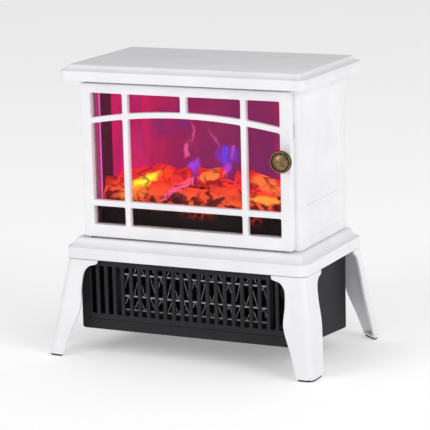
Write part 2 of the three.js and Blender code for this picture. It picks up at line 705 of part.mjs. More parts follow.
// ---------------------------------------------------------------- blower
function addBlower() {
  const rim = (x0, x1) => bar('x', FAN_R, x0, x1, FAN_Y, FAN_Z, 24);
  const blades = [];
  for (let i = 0; i < 14; i += 1) {
    const geometry = new THREE.BoxGeometry(FAN_HALF * 2 - 1, 1.2, 6.5);
    geometry.rotateX(THREE.MathUtils.degToRad(28));
    geometry.translate(0, 0, FAN_R - 4.2);
    geometry.rotateX((i / 14) * Math.PI * 2);
    geometry.translate(0, FAN_Y, FAN_Z);
    blades.push(solid(geometry));
  }
  add('fan_wheel', cut(
    union(rim(-FAN_HALF, -FAN_HALF + 2), rim(-1, 1), rim(FAN_HALF - 2, FAN_HALF), ...blades),
    bar('x', 2 + GAP, -FAN_HALF - TINY, FAN_HALF + TINY, FAN_Y, FAN_Z, 12),
  ), blackPlastic);
  add('fan_shaft', bar('x', 2, -94, 88, FAN_Y, FAN_Z, 12), steel);
  add('fan_bearing', cut(
    bar('x', 7, -93, -88.3, FAN_Y, FAN_Z),
    bar('x', 2 + GAP, -95, -86, FAN_Y, FAN_Z, 12),
  ), nylon);
  add('fan_motor', bar('x', 21, 88.3, 113, FAN_Y, FAN_Z, 24), steel);

  const ductFront = ELEMENT_FRONT + ELEMENT_DEPTH + 2 + GAP;
  const scroll = strip([
    ...arc(FAN_Y, FAN_Z, FAN_R + 4, -30, 90, 8),
    [FAN_Y - 14, 95.5],
    [ductFront, 97.5],
  ].reverse(), 1.4);
  const tongue = strip([
    [ductFront, 40],
    [FAN_Y - 24, 42],
    [FAN_Y - 19, 47],
    [FAN_Y - 20, 53],
  ], 1.4);
  const plate = (x0, x1) => cut(
    alongX(polygon([
      [ductFront, 39], [FAN_Y + 20, 34], [FAN_Y + 29, 46], [FAN_Y + 29, 90],
      [FAN_Y + 10, 99], [ductFront, 99],
    ]), x0, x1),
    bar('x', 3, x0 - TINY, x1 + TINY, FAN_Y, FAN_Z),
  );
  add('air_duct', union(
    alongX(scroll, -87, 86.5),
    alongX(tongue, -87, 86.5),
    plate(-88, -86.8),
  ), steel);
  add('motor_plate', plate(86.8, 88), steel);
}

// ---------------------------------------------------------------- legs
// A leg is a thin angle with a rounded corner. It is drawn upright with its outer corner on
// the Z axis, u inward along the front and v inward along the side, and then leans outward.
const FRONT_WING = [
  [36.5, 98.7], [36.5, 96], [35.4, 94.7], [31, 93.8], [27.4, 92.1], [24.8, 89.1],
  [23.4, 85.3], [23.2, 80], [24.4, 68.3], [26.5, 58.5], [27.4, 51.7], [26.7, 44.9],
  [24.6, 36.1], [21.8, 25.4], [19.5, 13.7], [18.2, 5.9], [17.6, 2],
];
const SIDE_WING = {
  front: [
    [40.5, 98.7], [40.5, 96], [39.2, 94.7], [35.4, 93.8], [32, 92.1], [29.6, 89.1],
    [28.4, 85.3], [28.2, 80], [29.4, 68.3], [31.6, 58.5], [32.5, 50.7], [32.2, 42],
    [31.2, 31.2], [29.4, 19.5], [27.8, 8.8], [27, 2],
  ],
  rear: [
    [24, 98.7], [24, 96], [23.2, 94.7], [21, 93.8], [19.2, 92.1], [18, 89.1],
    [17.4, 85.3], [17.2, 80], [17.6, 68.3], [18.4, 58.5], [18.8, 50.7], [18.4, 42],
    [17.6, 31.2], [16.6, 19.5], [15.6, 8.8], [15, 2],
  ],
};
const FOOT_U = FRONT_WING.at(-1)[0];
const SOLE_THICK = 2.4;
const PAD_INSET = 1.2;

function uprightLeg(sideWing) {
  const reach = 50;
  const angle = new THREE.Shape();
  angle.moveTo(reach, 0);
  angle.lineTo(reach, LEG_WALL);
  angle.lineTo(LEG_CORNER, LEG_WALL);
  angle.absarc(LEG_CORNER, LEG_CORNER, LEG_CORNER - LEG_WALL, Math.PI * 1.5, Math.PI, true);
  angle.lineTo(LEG_WALL, reach);
  angle.lineTo(0, reach);
  angle.absarc(LEG_CORNER, LEG_CORNER, LEG_CORNER, Math.PI, Math.PI * 1.5);
  angle.closePath();
  const sole = new THREE.Shape();
  const footV = sideWing.at(-1)[0];
  sole.moveTo(FOOT_U, 0);
  sole.lineTo(FOOT_U, LEG_WALL);
  sole.lineTo(LEG_WALL, footV);
  sole.lineTo(0, footV);
  sole.absarc(LEG_CORNER, LEG_CORNER, LEG_CORNER, Math.PI, Math.PI * 1.5);
  sole.closePath();
  const flange = polygon([[5.5, 2.2], [10.5, 2.2], [10.5, 22], [2.2, 22], [2.2, 5.5]]);
  const frontCut = polygon([...FRONT_WING, [-TINY, LEG_SOLE], [-TINY, LEG_TOP]]);
  const sideCut = polygon([...sideWing, [-TINY, LEG_SOLE], [-TINY, LEG_TOP]]);
  return union(
    alongZ(angle, LEG_SOLE, LEG_TOP)
      .intersect(alongY(frontCut, -TINY, reach + TINY))
      .intersect(alongX(sideCut, -TINY, reach + TINY)),
    alongZ(sole, LEG_SOLE, LEG_SOLE + SOLE_THICK),
    alongZ(flange, LEG_TOP - SOLE_THICK, LEG_TOP),
  );
}

function uprightPad(sideWing) {
  const endU = FOOT_U - PAD_INSET;
  const endV = sideWing.at(-1)[0] - PAD_INSET;
  return alongZ(polygon([
    [PAD_INSET, 8], [2.2, 4.6], [4.6, 2.2], [8, PAD_INSET], [endU, PAD_INSET],
    [endU, LEG_WALL], [LEG_WALL, endV], [PAD_INSET, endV],
  ]), 0, LEG_SOLE - GAP);
}

// Leans an upright piece outward and turns it to its corner of the plinth.
function lean(upright, sideX, sideY) {
  const geometry = toGeometry(upright);
  const position = geometry.attributes.position;
  const topY = sideY < 0 ? -LEG_TOP_FRONT : LEG_TOP_BACK;
  for (let i = 0; i < position.count; i += 1) {
    const z = position.getZ(i);
    const up = (z - LEG_SOLE) / (LEG_TOP - LEG_SOLE);
    const cornerX = FOOT_HALF_X + (LEG_TOP_X - FOOT_HALF_X) * up;
    const cornerY = FOOT_HALF_Y + (topY - FOOT_HALF_Y) * up;
    position.setX(i, sideX * (cornerX - position.getX(i)));
    position.setY(i, sideY * (cornerY - position.getY(i)));
  }
  if (sideX * sideY < 0) {
    const index = geometry.index.array;
    for (let i = 0; i < index.length; i += 3) {
      [index[i], index[i + 1]] = [index[i + 1], index[i]];
    }
  }
  return solid(geometry);
}

function addLegs() {
  for (const [sideY, end] of [[-1, 'front'], [1, 'rear']]) {
    const leg = uprightLeg(SIDE_WING[end]);
    const pad = uprightPad(SIDE_WING[end]);
    for (const [sideX, side] of [[-1, 'left'], [1, 'right']]) {
      add(`${end}_${side}_leg`, lean(leg, sideX, sideY), whitePlastic);
      add(`${end}_${side}_foot_pad`, lean(pad, sideX, sideY), rubber);
    }
  }
}

addLid();
addCabinet();
addDoor();
addHinges();
addFirebox();
addFlicker();
addControls();
addPlinth();
addHousing();
addElement();
addBlower();
addLegs();

export default fireplace;
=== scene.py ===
import math

import bmesh
import bpy
from mathutils import Matrix, Vector, noise


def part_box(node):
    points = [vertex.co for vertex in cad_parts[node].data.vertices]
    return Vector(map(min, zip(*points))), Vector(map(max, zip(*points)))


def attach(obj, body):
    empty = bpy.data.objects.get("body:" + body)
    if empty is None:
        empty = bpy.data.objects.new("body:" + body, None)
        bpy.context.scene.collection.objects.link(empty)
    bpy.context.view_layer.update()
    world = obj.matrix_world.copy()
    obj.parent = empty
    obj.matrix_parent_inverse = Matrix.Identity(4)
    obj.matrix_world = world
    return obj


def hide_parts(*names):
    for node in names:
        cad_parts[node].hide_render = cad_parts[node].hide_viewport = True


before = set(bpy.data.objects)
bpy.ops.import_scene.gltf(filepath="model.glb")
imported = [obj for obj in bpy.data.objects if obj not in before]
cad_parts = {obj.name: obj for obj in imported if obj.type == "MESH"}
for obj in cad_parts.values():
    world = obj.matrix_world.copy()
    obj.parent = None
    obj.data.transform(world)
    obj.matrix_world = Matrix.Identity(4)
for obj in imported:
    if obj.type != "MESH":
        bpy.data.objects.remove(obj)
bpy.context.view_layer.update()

# ---------------------------------------------------------------- plinth
# The plinth is a hollow tray moulded in satin white plastic. Its wall stands upright, then
# rolls inward in an ogee to the foot of the cabinet. The heater housing hangs inside it.
MM = 0.001


class Value:
    """A socket that carries a number, so that shader sums are written as sums."""

    def __init__(self, finish, socket):
        self.finish = finish
        self.socket = socket

    def maths(self, operation, *others):
        inputs = dict(enumerate(others))
        return self.finish.node("Math", {"operation": operation}, inputs)

    def __add__(self, other):
        return self.maths("ADD", self, other)

    def __radd__(self, other):
        return self.maths("ADD", other, self)

    def __sub__(self, other):
        return self.maths("SUBTRACT", self, other)

    def __rsub__(self, other):
        return self.maths("SUBTRACT", other, self)

    def __mul__(self, other):
        return self.maths("MULTIPLY", self, other)

    def __rmul__(self, other):
        return self.maths("MULTIPLY", other, self)

    def __pow__(self, other):
        return self.maths("POWER", self, other)


class Finish:
    """One surface finish: a material, its shader and the nodes that vary it."""

    def __init__(self, name, **constants):
        self.material = bpy.data.materials.new(name)
        self.material.use_nodes = True
        self.tree = self.material.node_tree
        self.shader = self.tree.nodes["Principled BSDF"]
        for socket, value in constants.items():
            self.shader.inputs[socket.replace("_", " ")].default_value = value
        self.place = self.node("TexCoord", output="Object")

    def feed(self, socket, value):
        if isinstance(value, Value):
            self.tree.links.new(value.socket, socket)
        else:
            socket.default_value = value

    def node(self, kind, settings=None, inputs=None, output=0):
        made = self.tree.nodes.new("ShaderNode" + kind)
        for key, value in (settings or {}).items():
            if key == "stops":
                ramp = made.color_ramp
                while len(ramp.elements) < len(value):
                    ramp.elements.new(0.5)
                for element, (position, colour) in zip(ramp.elements, value):
                    element.position = position
                    element.color = colour
            else:
                setattr(made, key, value)
        for key, value in (inputs or {}).items():
            self.feed(made.inputs[key], value)
        return Value(self, made.outputs[output])

    def set(self, **sockets):
        for socket, value in sockets.items():
            self.feed(self.shader.inputs[socket.replace("_", " ")], value)
        return self

    def along(self, axis):
        """How far along an axis, in metres: 0 is across, 1 is back and 2 is up."""
        return self.node("SeparateXYZ", None, {"Vector": self.place}, axis)

    def cloud(self, size, detail=4.0, stretch=(1, 1, 1), rough=0.5):
        """Soft random patches about size mm across, from 0 to 1."""
        place = self.node("Mapping", None, {"Vector": self.place, "Scale": stretch})
        return self.node("TexNoise", None, {"Vector": place, "Scale": 1 / (size * MM),
                                            "Detail": detail, "Roughness": rough})

    def cells(self, size, stretch=(1, 1, 1)):
        """Distance from the nearest of random points about size mm apart."""
        place = self.node("Mapping", None, {"Vector": self.place, "Scale": stretch})
        return self.node("TexVoronoi", None, {"Vector": place, "Scale": 1 / (size * MM)},
                         "Distance")

    def between(self, value, low, high, to_low=0.0, to_high=1.0):
        """A number carried smoothly from one range to another and kept inside it."""
        return self.node("MapRange", {"clamp": True, "interpolation_type": "SMOOTHSTEP"},
                         {0: value, 1: low, 2: high, 3: to_low, 4: to_high})

    def blend(self, factor, first, second):
        """One colour laid over another."""
        return self.node("Mix", {"data_type": "RGBA"}, {0: factor, 6: first, 7: second}, 2)

    def swirl(self, size, reach):
        """Bends everything drawn after it by soft random drifts up to reach mm."""
        drift = self.node("TexNoise", None, {"Vector": self.place, "Scale": 1 / (size * MM),
                                             "Detail": 3.0}, "Color")
        bent = self.node("VectorMath", {"operation": "MULTIPLY_ADD"}, {
            0: drift, 1: (2 * reach * MM, 0, 2 * reach * MM), 2: self.place})
        self.place = self.node("Mapping", None, {"Vector": bent,
                                                 "Location": (-reach * MM, 0, -reach * MM)})

    def spot(self, x, z, half_x, half_z, turn=0):
        """A soft-edged spot on an upright face, in mm: 1 in its middle and 0 at its rim."""
        place = self.node("Mapping", {"vector_type": "TEXTURE"}, {
            "Vector": self.place,
            "Location": (x * MM, 0, z * MM),
            "Rotation": (0, math.radians(turn), 0),
            "Scale": (half_x * MM, 1, half_z * MM),
        })
        return self.node("TexGradient", {"gradient_type": "SPHERICAL"}, {"Vector": place}, 1)

    def relief(self, height, depth, strength=1.0):
        """Bump of that depth in mm."""
        return self.set(Normal=self.node("Bump", None, {
            "Height": height, "Distance": depth * MM, "Strength": strength}))


def paint(red, green, blue):
    """A colour from its display values, 0 to 255."""
    return tuple((v / 255 / 12.92) if v < 11 else ((v / 255 + 0.055) / 1.055) ** 2.4
                 for v in (red, green, blue)) + (1.0,)


def toned(colour, by):
    """The same colour, that many times as light."""
    return tuple(by * v for v in colour[:3]) + (1.0,)


def box_mm(node):
    low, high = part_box(node)
    return low / MM, high / MM


def block(bm, low, high):
    """A box between two corners, in mm."""
    low, high = Vector(low), Vector(high)
    size = Matrix.Diagonal((*(high - low), 1))
    made = bmesh.ops.create_cube(bm, size=1, matrix=Matrix.Translation((low + high) / 2) @ size)
    return made["verts"]


def bevel(bm, edges, width, segments=3):
    return bmesh.ops.bevel(bm, geom=list(edges), offset=width, segments=segments, profile=0.5,
                           affect="EDGES", material=-1)


def upright(edge):
    a, b = (v.co for v in edge.verts)
    return abs(a.z - b.z) > 0.9 * (a - b).length


def keep(bm, name, body, slot, finish, *stands_for, smooth=30, round_over=0.0):
    """Makes a piece of a finished mesh drawn in mm, and fixes it to its body."""
    bmesh.ops.remove_doubles(bm, verts=bm.verts, dist=0.001)
    bmesh.ops.recalc_face_normals(bm, faces=bm.faces)
    bmesh.ops.scale(bm, vec=(MM, MM, MM), verts=bm.verts)
    mesh = bpy.data.meshes.new(name)
    bm.to_mesh(mesh)
    bm.free()
    mesh.shade_smooth()
    mesh.set_sharp_from_angle(angle=math.radians(smooth))
    piece = bpy.data.objects.new(name, mesh)
    bpy.context.scene.collection.objects.link(piece)
    mesh.materials.append(finish.material)
    if round_over:
        round_edges(piece, round_over)
    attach(piece, body)
    if stands_for:
        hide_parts(*stands_for)
    return piece


def round_edges(piece, width, segments=3):
    rounding = piece.modifiers.new("round_edges", "BEVEL")
    rounding.width = width * MM
    rounding.segments = segments
    rounding.limit_method = "ANGLE"
    rounding.angle_limit = math.radians(32)
    rounding.harden_normals = True


def join(bm, other):
    """Adds another drawing to this one."""
    carried = bpy.data.meshes.new("carried")
    other.to_mesh(carried)
    other.free()
    bm.from_mesh(carried)
    bpy.data.meshes.remove(carried)


def rounded_slab(bm, low, high, radius):
    """A face with rounded corners at the low level, facing up."""
    block(bm, low, high)
    bevel(bm, [e for e in bm.edges if upright(e)], radius, segments=10)
    top = max(bm.faces, key=lambda f: f.calc_center_median().z)
    bmesh.ops.delete(bm, geom=[f for f in bm.faces if f is not top], context="FACES")
    bmesh.ops.translate(bm, verts=bm.verts, vec=(0, 0, low[2] - high[2]))
    return next(iter(bm.faces))


def roll_up(bm, face, profile):
    """Carries a face up and inward through a moulding's (inset, height) profile."""
    for (inset, z), (next_inset, next_z) in zip(profile, profile[1:]):
        if next_inset > inset:
            bmesh.ops.inset_region(bm, faces=[face], thickness=next_inset - inset,
                                   use_even_offset=True)
        else:
            face = bmesh.ops.extrude_discrete_faces(bm, faces=[face])["faces"][0]
        bmesh.ops.translate(bm, verts=face.verts, vec=(0, 0, next_z - z))


def hollow_moulding(low, high, radius, *profiles):
    """A moulding open below: its outside and its cavity, joined round the lower rim."""
    bm = bmesh.new()
    for profile in profiles:
        inset, start = profile[0]
        shell = bmesh.new()
        face = rounded_slab(shell, (low.x + inset, low.y + inset, low.z + start),
                            (high.x - inset, high.y - inset, high.z), radius - inset)
        roll_up(shell, face, profile)
        join(bm, shell)
    bmesh.ops.bridge_loops(bm, edges=[e for e in bm.edges if e.is_boundary])
    return bm


def moulded_white(name, tint=(238, 237, 240)):
    """Satin white plastic: a faint warm and cool drift, fine mould texture, soft gloss."""
    white = Finish(name, Roughness=0.36, IOR=1.46)
    drift = white.cloud(38, 3)
    grain = white.cloud(0.5, 3)
    full = paint(*tint)
    white.set(Base_Color=white.blend(white.between(drift, 0.35, 0.65), toned(full, 0.955), full),
              Roughness=0.31 + 0.1 * drift + 0.05 * grain)
    white.relief(grain + 0.6 * white.cloud(6, 2), 0.03, 0.55)
    return white


WHITE = moulded_white("satin_white")
low, high = box_mm("plinth")
PLINTH_PROFILE = [(0, 0.5), (0, 11.5), (0.25, 11.9), (0.9, 12.15), (2.2, 12.4), (3.6, 12.9),
                  (5.0, 13.8), (6.2, 14.9), (7.2, 16.3), (7.9, 17.7), (8.4, 18.8), (8.9, 19.7),
                  (9.4, 20.3), (9.9, 20.6)]
PLINTH_CAVITY = [(2.7, 0), (2.7, 9), (9.9, 18.1)]
PLINTH_CORNER = 10.4
bm = hollow_moulding(low, high, PLINTH_CORNER, PLINTH_PROFILE, PLINTH_CAVITY)
keep(bm, "plinth_moulding", "cabinet", "white_moulding", WHITE, "plinth", smooth=27)

# ---------------------------------------------------------------- legs
# Each leg is a thin moulded angle that splays outward. Both wings narrow at the ankle and
# widen to the plinth in a curve. A flange inside its top screws to the plinth's underside.
LEG_WALL = 2.6
LEG_CORNER = 9.0
FRONT_WING = [(98.7, 36.5), (96, 36.4), (94.7, 35.4), (93.8, 31.0), (92.1, 27.4), (89.1, 24.8),
              (85.3, 23.4), (80, 23.2), (68.3, 24.4), (58.5, 26.5), (51.7, 27.4), (44.9, 26.7),
              (36.1, 24.6), (25.4, 21.8), (13.7, 19.5), (5.9, 18.2), (2, 17.6)]
SIDE_WING = {
    "front": [(98.7, 40.5), (96, 40.3), (94.7, 39.2), (93.8, 35.4), (92.1, 32.0), (89.1, 29.6),
              (85.3, 28.4), (80, 28.2), (68.3, 29.4), (58.5, 31.6), (50.7, 32.5), (42, 32.2),
              (31.2, 31.2), (19.5, 29.4), (8.8, 27.8), (2, 27.0)],
    "rear": [(98.7, 24.0), (96, 23.9), (94.7, 23.2), (93.8, 21.0), (92.1, 19.2), (89.1, 18.0),
             (85.3, 17.4), (80, 17.2), (68.3, 17.6), (58.5, 18.4), (50.7, 18.8), (42, 18.4),
             (31.2, 17.6), (19.5, 16.6), (8.8, 15.6), (2, 15.0)],
}
SOLE, LEG_TOP = 2.0, 98.7
SOLE_THICK, SOLE_INSET = 2.4, 0.4
FLANGE_LOW, FLANGE_HIGH, FLANGE_THICK = (4.0, 4.0), (10.5, 22.0), 2.4
FOOT_X, FOOT_Y = 147.5, 92.0
TOP_X = 132.8
TOP_Y = {"front": 72.5, "rear": 79.0}
ROWS, COLUMNS = 56, 24
CROWDING = 1.5  # above 1, the rows lie closer toward the top, where the curve is tight


def smooth_through(points, at):
    """The value at one place of a smooth curve through (place, value) points."""
    points = sorted(points)
    last = len(points) - 2
    i = min(last, max(0, sum(p[0] <= at for p in points) - 1))

    def slope(j):
        a, b = points[max(0, j - 1)], points[min(len(points) - 1, j + 1)]
        return (b[1] - a[1]) / (b[0] - a[0])

    (x0, y0), (x1, y1) = points[i], points[i + 1]
    span = x1 - x0
    t = min(1, max(0, (at - x0) / span))
    return ((2 * t ** 3 - 3 * t ** 2 + 1) * y0 + (t ** 3 - 2 * t ** 2 + t) * span * slope(i)
            + (3 * t ** 2 - 2 * t ** 3) * y1 + (t ** 3 - t ** 2) * span * slope(i + 1))


def leg_point(end, across, height):
    """A point of the upright leg's outside: u inward along the front, v along the side."""
    wing = COLUMNS // 3 / COLUMNS
    front, side = (smooth_through(w, height) for w in (FRONT_WING, SIDE_WING[end]))
    if across < wing:
        return front + (LEG_CORNER - front) * across / wing, 0.0
    if across > 1 - wing:
        return 0.0, LEG_CORNER + (side - LEG_CORNER) * (across - 1 + wing) / wing
    angle = math.radians(270 - 90 * (across - wing) / (1 - 2 * wing))
    return (LEG_CORNER + LEG_CORNER * math.cos(angle), LEG_CORNER + LEG_CORNER * math.sin(angle))


def prism(bm, outline, bottom, top):
    """An upright prism on an outline."""
    face = bm.faces.new([bm.verts.new((u, v, bottom)) for u, v in outline])
    raised = bmesh.ops.extrude_face_region(bm, geom=[face])["geom"]
    lifted = [v for v in raised if isinstance(v, bmesh.types.BMVert)]
    bmesh.ops.translate(bm, verts=lifted, vec=(0, 0, top - bottom))


for end, side_y in (("front", -1), ("rear", 1)):
    for side, side_x in (("left", -1), ("right", 1)):
        bm = bmesh.new()
        bmesh.ops.create_grid(bm, x_segments=COLUMNS, y_segments=ROWS, size=0.5)
        for vert in bm.verts:
            height = LEG_TOP - (LEG_TOP - SOLE) * (0.5 - vert.co.y) ** CROWDING
            u, v = leg_point(end, vert.co.x + 0.5, height)
            vert.co = (u, v, height)
        bmesh.ops.recalc_face_normals(bm, faces=bm.faces)
        middle = min(bm.faces, key=lambda f: f.calc_center_median().to_2d().length)
        if middle.normal.x + middle.normal.y > 0:
            bmesh.ops.reverse_faces(bm, faces=bm.faces)
        bmesh.ops.solidify(bm, geom=bm.faces[:], thickness=LEG_WALL)
        foot_u = FRONT_WING[-1][1] - SOLE_INSET
        foot_v = SIDE_WING[end][-1][1] - SOLE_INSET
        inner = LEG_WALL / 2
        prism(bm, [(inner, inner), (foot_u, inner), (foot_u, LEG_WALL), (LEG_WALL, foot_v),
                   (inner, foot_v)], SOLE, SOLE + SOLE_THICK)
        block(bm, (*FLANGE_LOW, LEG_TOP - FLANGE_THICK), (*FLANGE_HIGH, LEG_TOP))
        for vert in bm.verts:
            up = (vert.co.z - SOLE) / (LEG_TOP - SOLE)
            corner_x = FOOT_X + (TOP_X - FOOT_X) * up
            corner_y = FOOT_Y + (TOP_Y[end] - FOOT_Y) * up
            vert.co.x = side_x * (corner_x - vert.co.x)
            vert.co.y = side_y * (corner_y - vert.co.y)
        keep(bm, f"{end}_{side}_leg_shell", "cabinet", "white_moulding", WHITE,
             f"{end}_{side}_leg", round_over=0.5)


def carry_over(finish, *names, round_over=0.0):
    """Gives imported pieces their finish, with their edges just rounded."""
    for name in names:
        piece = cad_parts[name]
        piece.data.materials.clear()
        piece.data.materials.append(finish.material)
        if round_over:
            piece.modifiers.new("join", "WELD").merge_threshold = 1e-5
            round_edges(piece, round_over, 2)


RUBBER = Finish("black_rubber", Roughness=0.85)
RUBBER.set(Base_Color=RUBBER.blend(RUBBER.cloud(2), paint(38, 38, 41), paint(56, 56, 58)),
           Roughness=0.75 + 0.2 * RUBBER.cloud(0.8))
RUBBER.relief(RUBBER.cloud(0.4), 0.05)
carry_over(RUBBER, "front_left_foot_pad", "front_right_foot_pad", "rear_left_foot_pad",
           "rear_right_foot_pad", round_over=0.3)

# ---------------------------------------------------------------- heater housing
# The housing is one black flame-retardant moulding, open above and behind, with a finely
# grained skin. Its front corners are rounded and its floor rises toward the front.
HOUSING_WALL, FLOOR_FRONT, MOUTH_GAP = 2.5, 25.4, 0.3
ACROSS, BACK, UP = (1, 0, 0), (0, 1, 0), (0, 0, 1)


def moulded_black(name, tint=(29, 28, 31), grain_mm=0.45):
    """Black moulded plastic with a spark-eroded grain and a faint bloom of dust."""
    black = Finish(name, Roughness=0.5, Specular_IOR_Level=0.25)
    grain = black.cloud(grain_mm, 4, rough=0.65)
    bloom = black.cloud(30, 4)
    deep = paint(*tint)
    black.set(Base_Color=black.blend(black.between(bloom, 0.35, 0.75), deep, toned(deep, 1.35)),
              Roughness=0.46 + 0.14 * grain + 0.06 * bloom)
    black.relief(grain, 0.06, 0.7)
    return black


def score(bm, axis, *places):
    """Cuts every face along planes across an axis, so that faces can be picked out."""
    for place in places:
        bmesh.ops.bisect_plane(bm, geom=bm.verts[:] + bm.edges[:] + bm.faces[:],
                               plane_co=Vector(axis) * place, plane_no=axis)


BLACK = moulded_black("grained_black")
low, high = box_mm("heater_housing")
bm = bmesh.new()
for vert in block(bm, low, high):
    if vert.co.z < FLOOR_FRONT and vert.co.y < 0:
        vert.co.z = FLOOR_FRONT
bevel(bm, [e for e in bm.edges if upright(e) and e.verts[0].co.y < 0], 6, 8)
bottom = min(bm.faces, key=lambda f: f.calc_center_median().z)
bevel(bm, bottom.edges, 2.2, 4)
grille_low, grille_high = box_mm("outlet_grille")
mouth_left, mouth_right = grille_low.x - MOUTH_GAP, grille_high.x + MOUTH_GAP
mouth_low, mouth_high = grille_low.z - MOUTH_GAP, grille_high.z + MOUTH_GAP
score(bm, ACROSS, mouth_left, mouth_right)
score(bm, UP, mouth_low, mouth_high)
gone = []
for face in bm.faces:
    middle = face.calc_center_median()
    mouth = (face.normal.y < -0.9 and mouth_left < middle.x < mouth_right
             and mouth_low < middle.z < mouth_high)
    if mouth or face.normal.z > 0.9 or face.normal.y > 0.9:
        gone.append(face)
bmesh.ops.delete(bm, geom=gone, context="FACES")
bmesh.ops.solidify(bm, geom=bm.faces[:], thickness=HOUSING_WALL)
keep(bm, "housing_shell", "cabinet", "black_moulding", BLACK, "heater_housing", round_over=0.25)

# ---------------------------------------------------------------- outlet grille
# The grille is a separate black plate pressed into the housing's mouth. Warm air leaves
# through its 23 upright slots, whose ends are rounded.
SLOT_PITCH, SLOT_WIDTH, SLOT_LOW, SLOT_HIGH, SLOTS = 9.5, 5.5, 42.0, 92.3, 23


def rounded(points, radius, steps=4):
    """A closed outline with its sharp corners rounded."""
    outline = []
    for i, corner in enumerate(points):
        here = Vector(corner)
        before, after = Vector(points[i - 1]), Vector(points[(i + 1) % len(points)])
        if (here - before).angle(after - here) < math.radians(20):
            outline.append(corner)
            continue
        reach = min(radius, (here - before).length / 2, (after - here).length / 2)
        start = here + (before - here).normalized() * reach
        end = here + (after - here).normalized() * reach
        for step in range(steps + 1):
            t = step / steps
            outline.append(tuple((1 - t) ** 2 * start + 2 * t * (1 - t) * here + t ** 2 * end))
    return outline


def rectangle(x0, x1, z0, z1, radius=0.0, steps=4):
    corners = [(x0, z0), (x1, z0), (x1, z1), (x0, z1)]
    return rounded(corners, radius, steps) if radius else corners


def plate(outlines, front, back, edge, resolution=2):
    """A flat plate across the x-z plane with its rims rounded over. The first outline is
    its outside and the others are its holes."""
    curve = bpy.data.curves.new("plate", "CURVE")
    curve.dimensions = "2D"
    curve.fill_mode = "BOTH"
    curve.extrude = (back - front) / 2 - edge
    curve.bevel_depth = edge
    curve.bevel_resolution = resolution
    curve.offset = -edge
    for outline in outlines:
        spline = curve.splines.new("POLY")
        spline.points.add(len(outline) - 1)
        for point, (u, v) in zip(spline.points, outline):
            point.co = (u, v, 0, 1)
        spline.use_cyclic_u = True
    holder = bpy.data.objects.new("plate", curve)
    bpy.context.scene.collection.objects.link(holder)
    drawn = holder.evaluated_get(bpy.context.evaluated_depsgraph_get())
    mesh = bpy.data.meshes.new_from_object(drawn)
    bm = bmesh.new()
    bm.from_mesh(mesh)
    bpy.data.objects.remove(holder)
    bpy.data.curves.remove(curve)
    bpy.data.meshes.remove(mesh)
    bmesh.ops.rotate(bm, verts=bm.verts, matrix=Matrix.Rotation(math.radians(90), 3, "X"))
    bmesh.ops.translate(bm, verts=bm.verts, vec=(0, (front + back) / 2, 0))
    bmesh.ops.remove_doubles(bm, verts=bm.verts, dist=0.001)
    return bm


low, high = grille_low, grille_high
outlines = [rectangle(low.x, high.x, low.z, high.z, 0.6, 2)]
for i in range(SLOTS):
    x = (i - (SLOTS - 1) / 2) * SLOT_PITCH
    outlines.append(rectangle(x - SLOT_WIDTH / 2, x + SLOT_WIDTH / 2, SLOT_LOW, SLOT_HIGH, 1.2, 3))
bm = plate(outlines, low.y, high.y, 0.35)
keep(bm, "grille_plate", "cabinet", "black_moulding", BLACK, "outlet_grille")

# ---------------------------------------------------------------- heating element
# The element is a ceramic heater between aluminium rails with folded fins, held in a black
# frame behind the grille. A nylon-cased cut-out on top breaks the circuit if it overheats.
ALUMINIUM = Finish("mill_aluminium", Metallic=1.0)
brushed = ALUMINIUM.cloud(3, 4, (0.08, 1, 1))
ALUMINIUM.set(Base_Color=ALUMINIUM.blend(brushed, paint(176, 178, 181), paint(214, 215, 217)),
              Roughness=0.3 + 0.2 * brushed)
ALUMINIUM.relief(brushed, 0.02, 0.5)
NYLON = Finish("natural_nylon", Subsurface_Weight=0.05)
NYLON.set(Base_Color=NYLON.blend(NYLON.cloud(8), paint(226, 219, 203), paint(238, 233, 220)),
          Roughness=0.45 + 0.15 * NYLON.cloud(1))
NYLON.relief(NYLON.cloud(0.6), 0.02)
FINS = Finish("heater_fins", Metallic=0.3)
RAILS = (43, 57.7, 80.5, 94)
RAIL_OUTSIDE, RAIL_INSIDE, BLUR = 1.4, 0.6, 0.1
PAINTED_HIGHLIGHT_DEPTH = (1.5, 2.0)
height = FINS.along(2)
depth = FINS.along(1)


def fin_band(z, reach):
    """1 within reach mm of the height z, and 0 beyond."""
    start, stop = z - reach, z + reach
    return FINS.between(height, (start - BLUR) * MM, (start + BLUR) * MM) * (
        1 - FINS.between(height, (stop - BLUR) * MM, (stop + BLUR) * MM))


element_front = box_mm("ptc_element")[0].y
# Painted light: the fins are painted dark as shade, with a painted highlight along their front
# edges, broken by painted shade beside each rail.
painted_highlight_edge = 1 - FINS.between(depth, *((element_front + d) * MM for d in PAINTED_HIGHLIGHT_DEPTH))
painted_rail_shade = sum((fin_band(z, RAIL_OUTSIDE) - fin_band(z, RAIL_INSIDE) for z in RAILS), 0.0)
FINS.set(Base_Color=FINS.blend(painted_highlight_edge * (1 - painted_rail_shade), paint(62, 61, 65), paint(250, 250, 252)),
         Roughness=0.35 + 0.15 * FINS.cloud(2))
FINS.relief(FINS.cloud(0.8), 0.02)
carry_over(FINS, "ptc_element")
carry_over(BLACK, "element_frame", round_over=0.3)
carry_over(NYLON, "thermal_cutout", round_over=0.2)

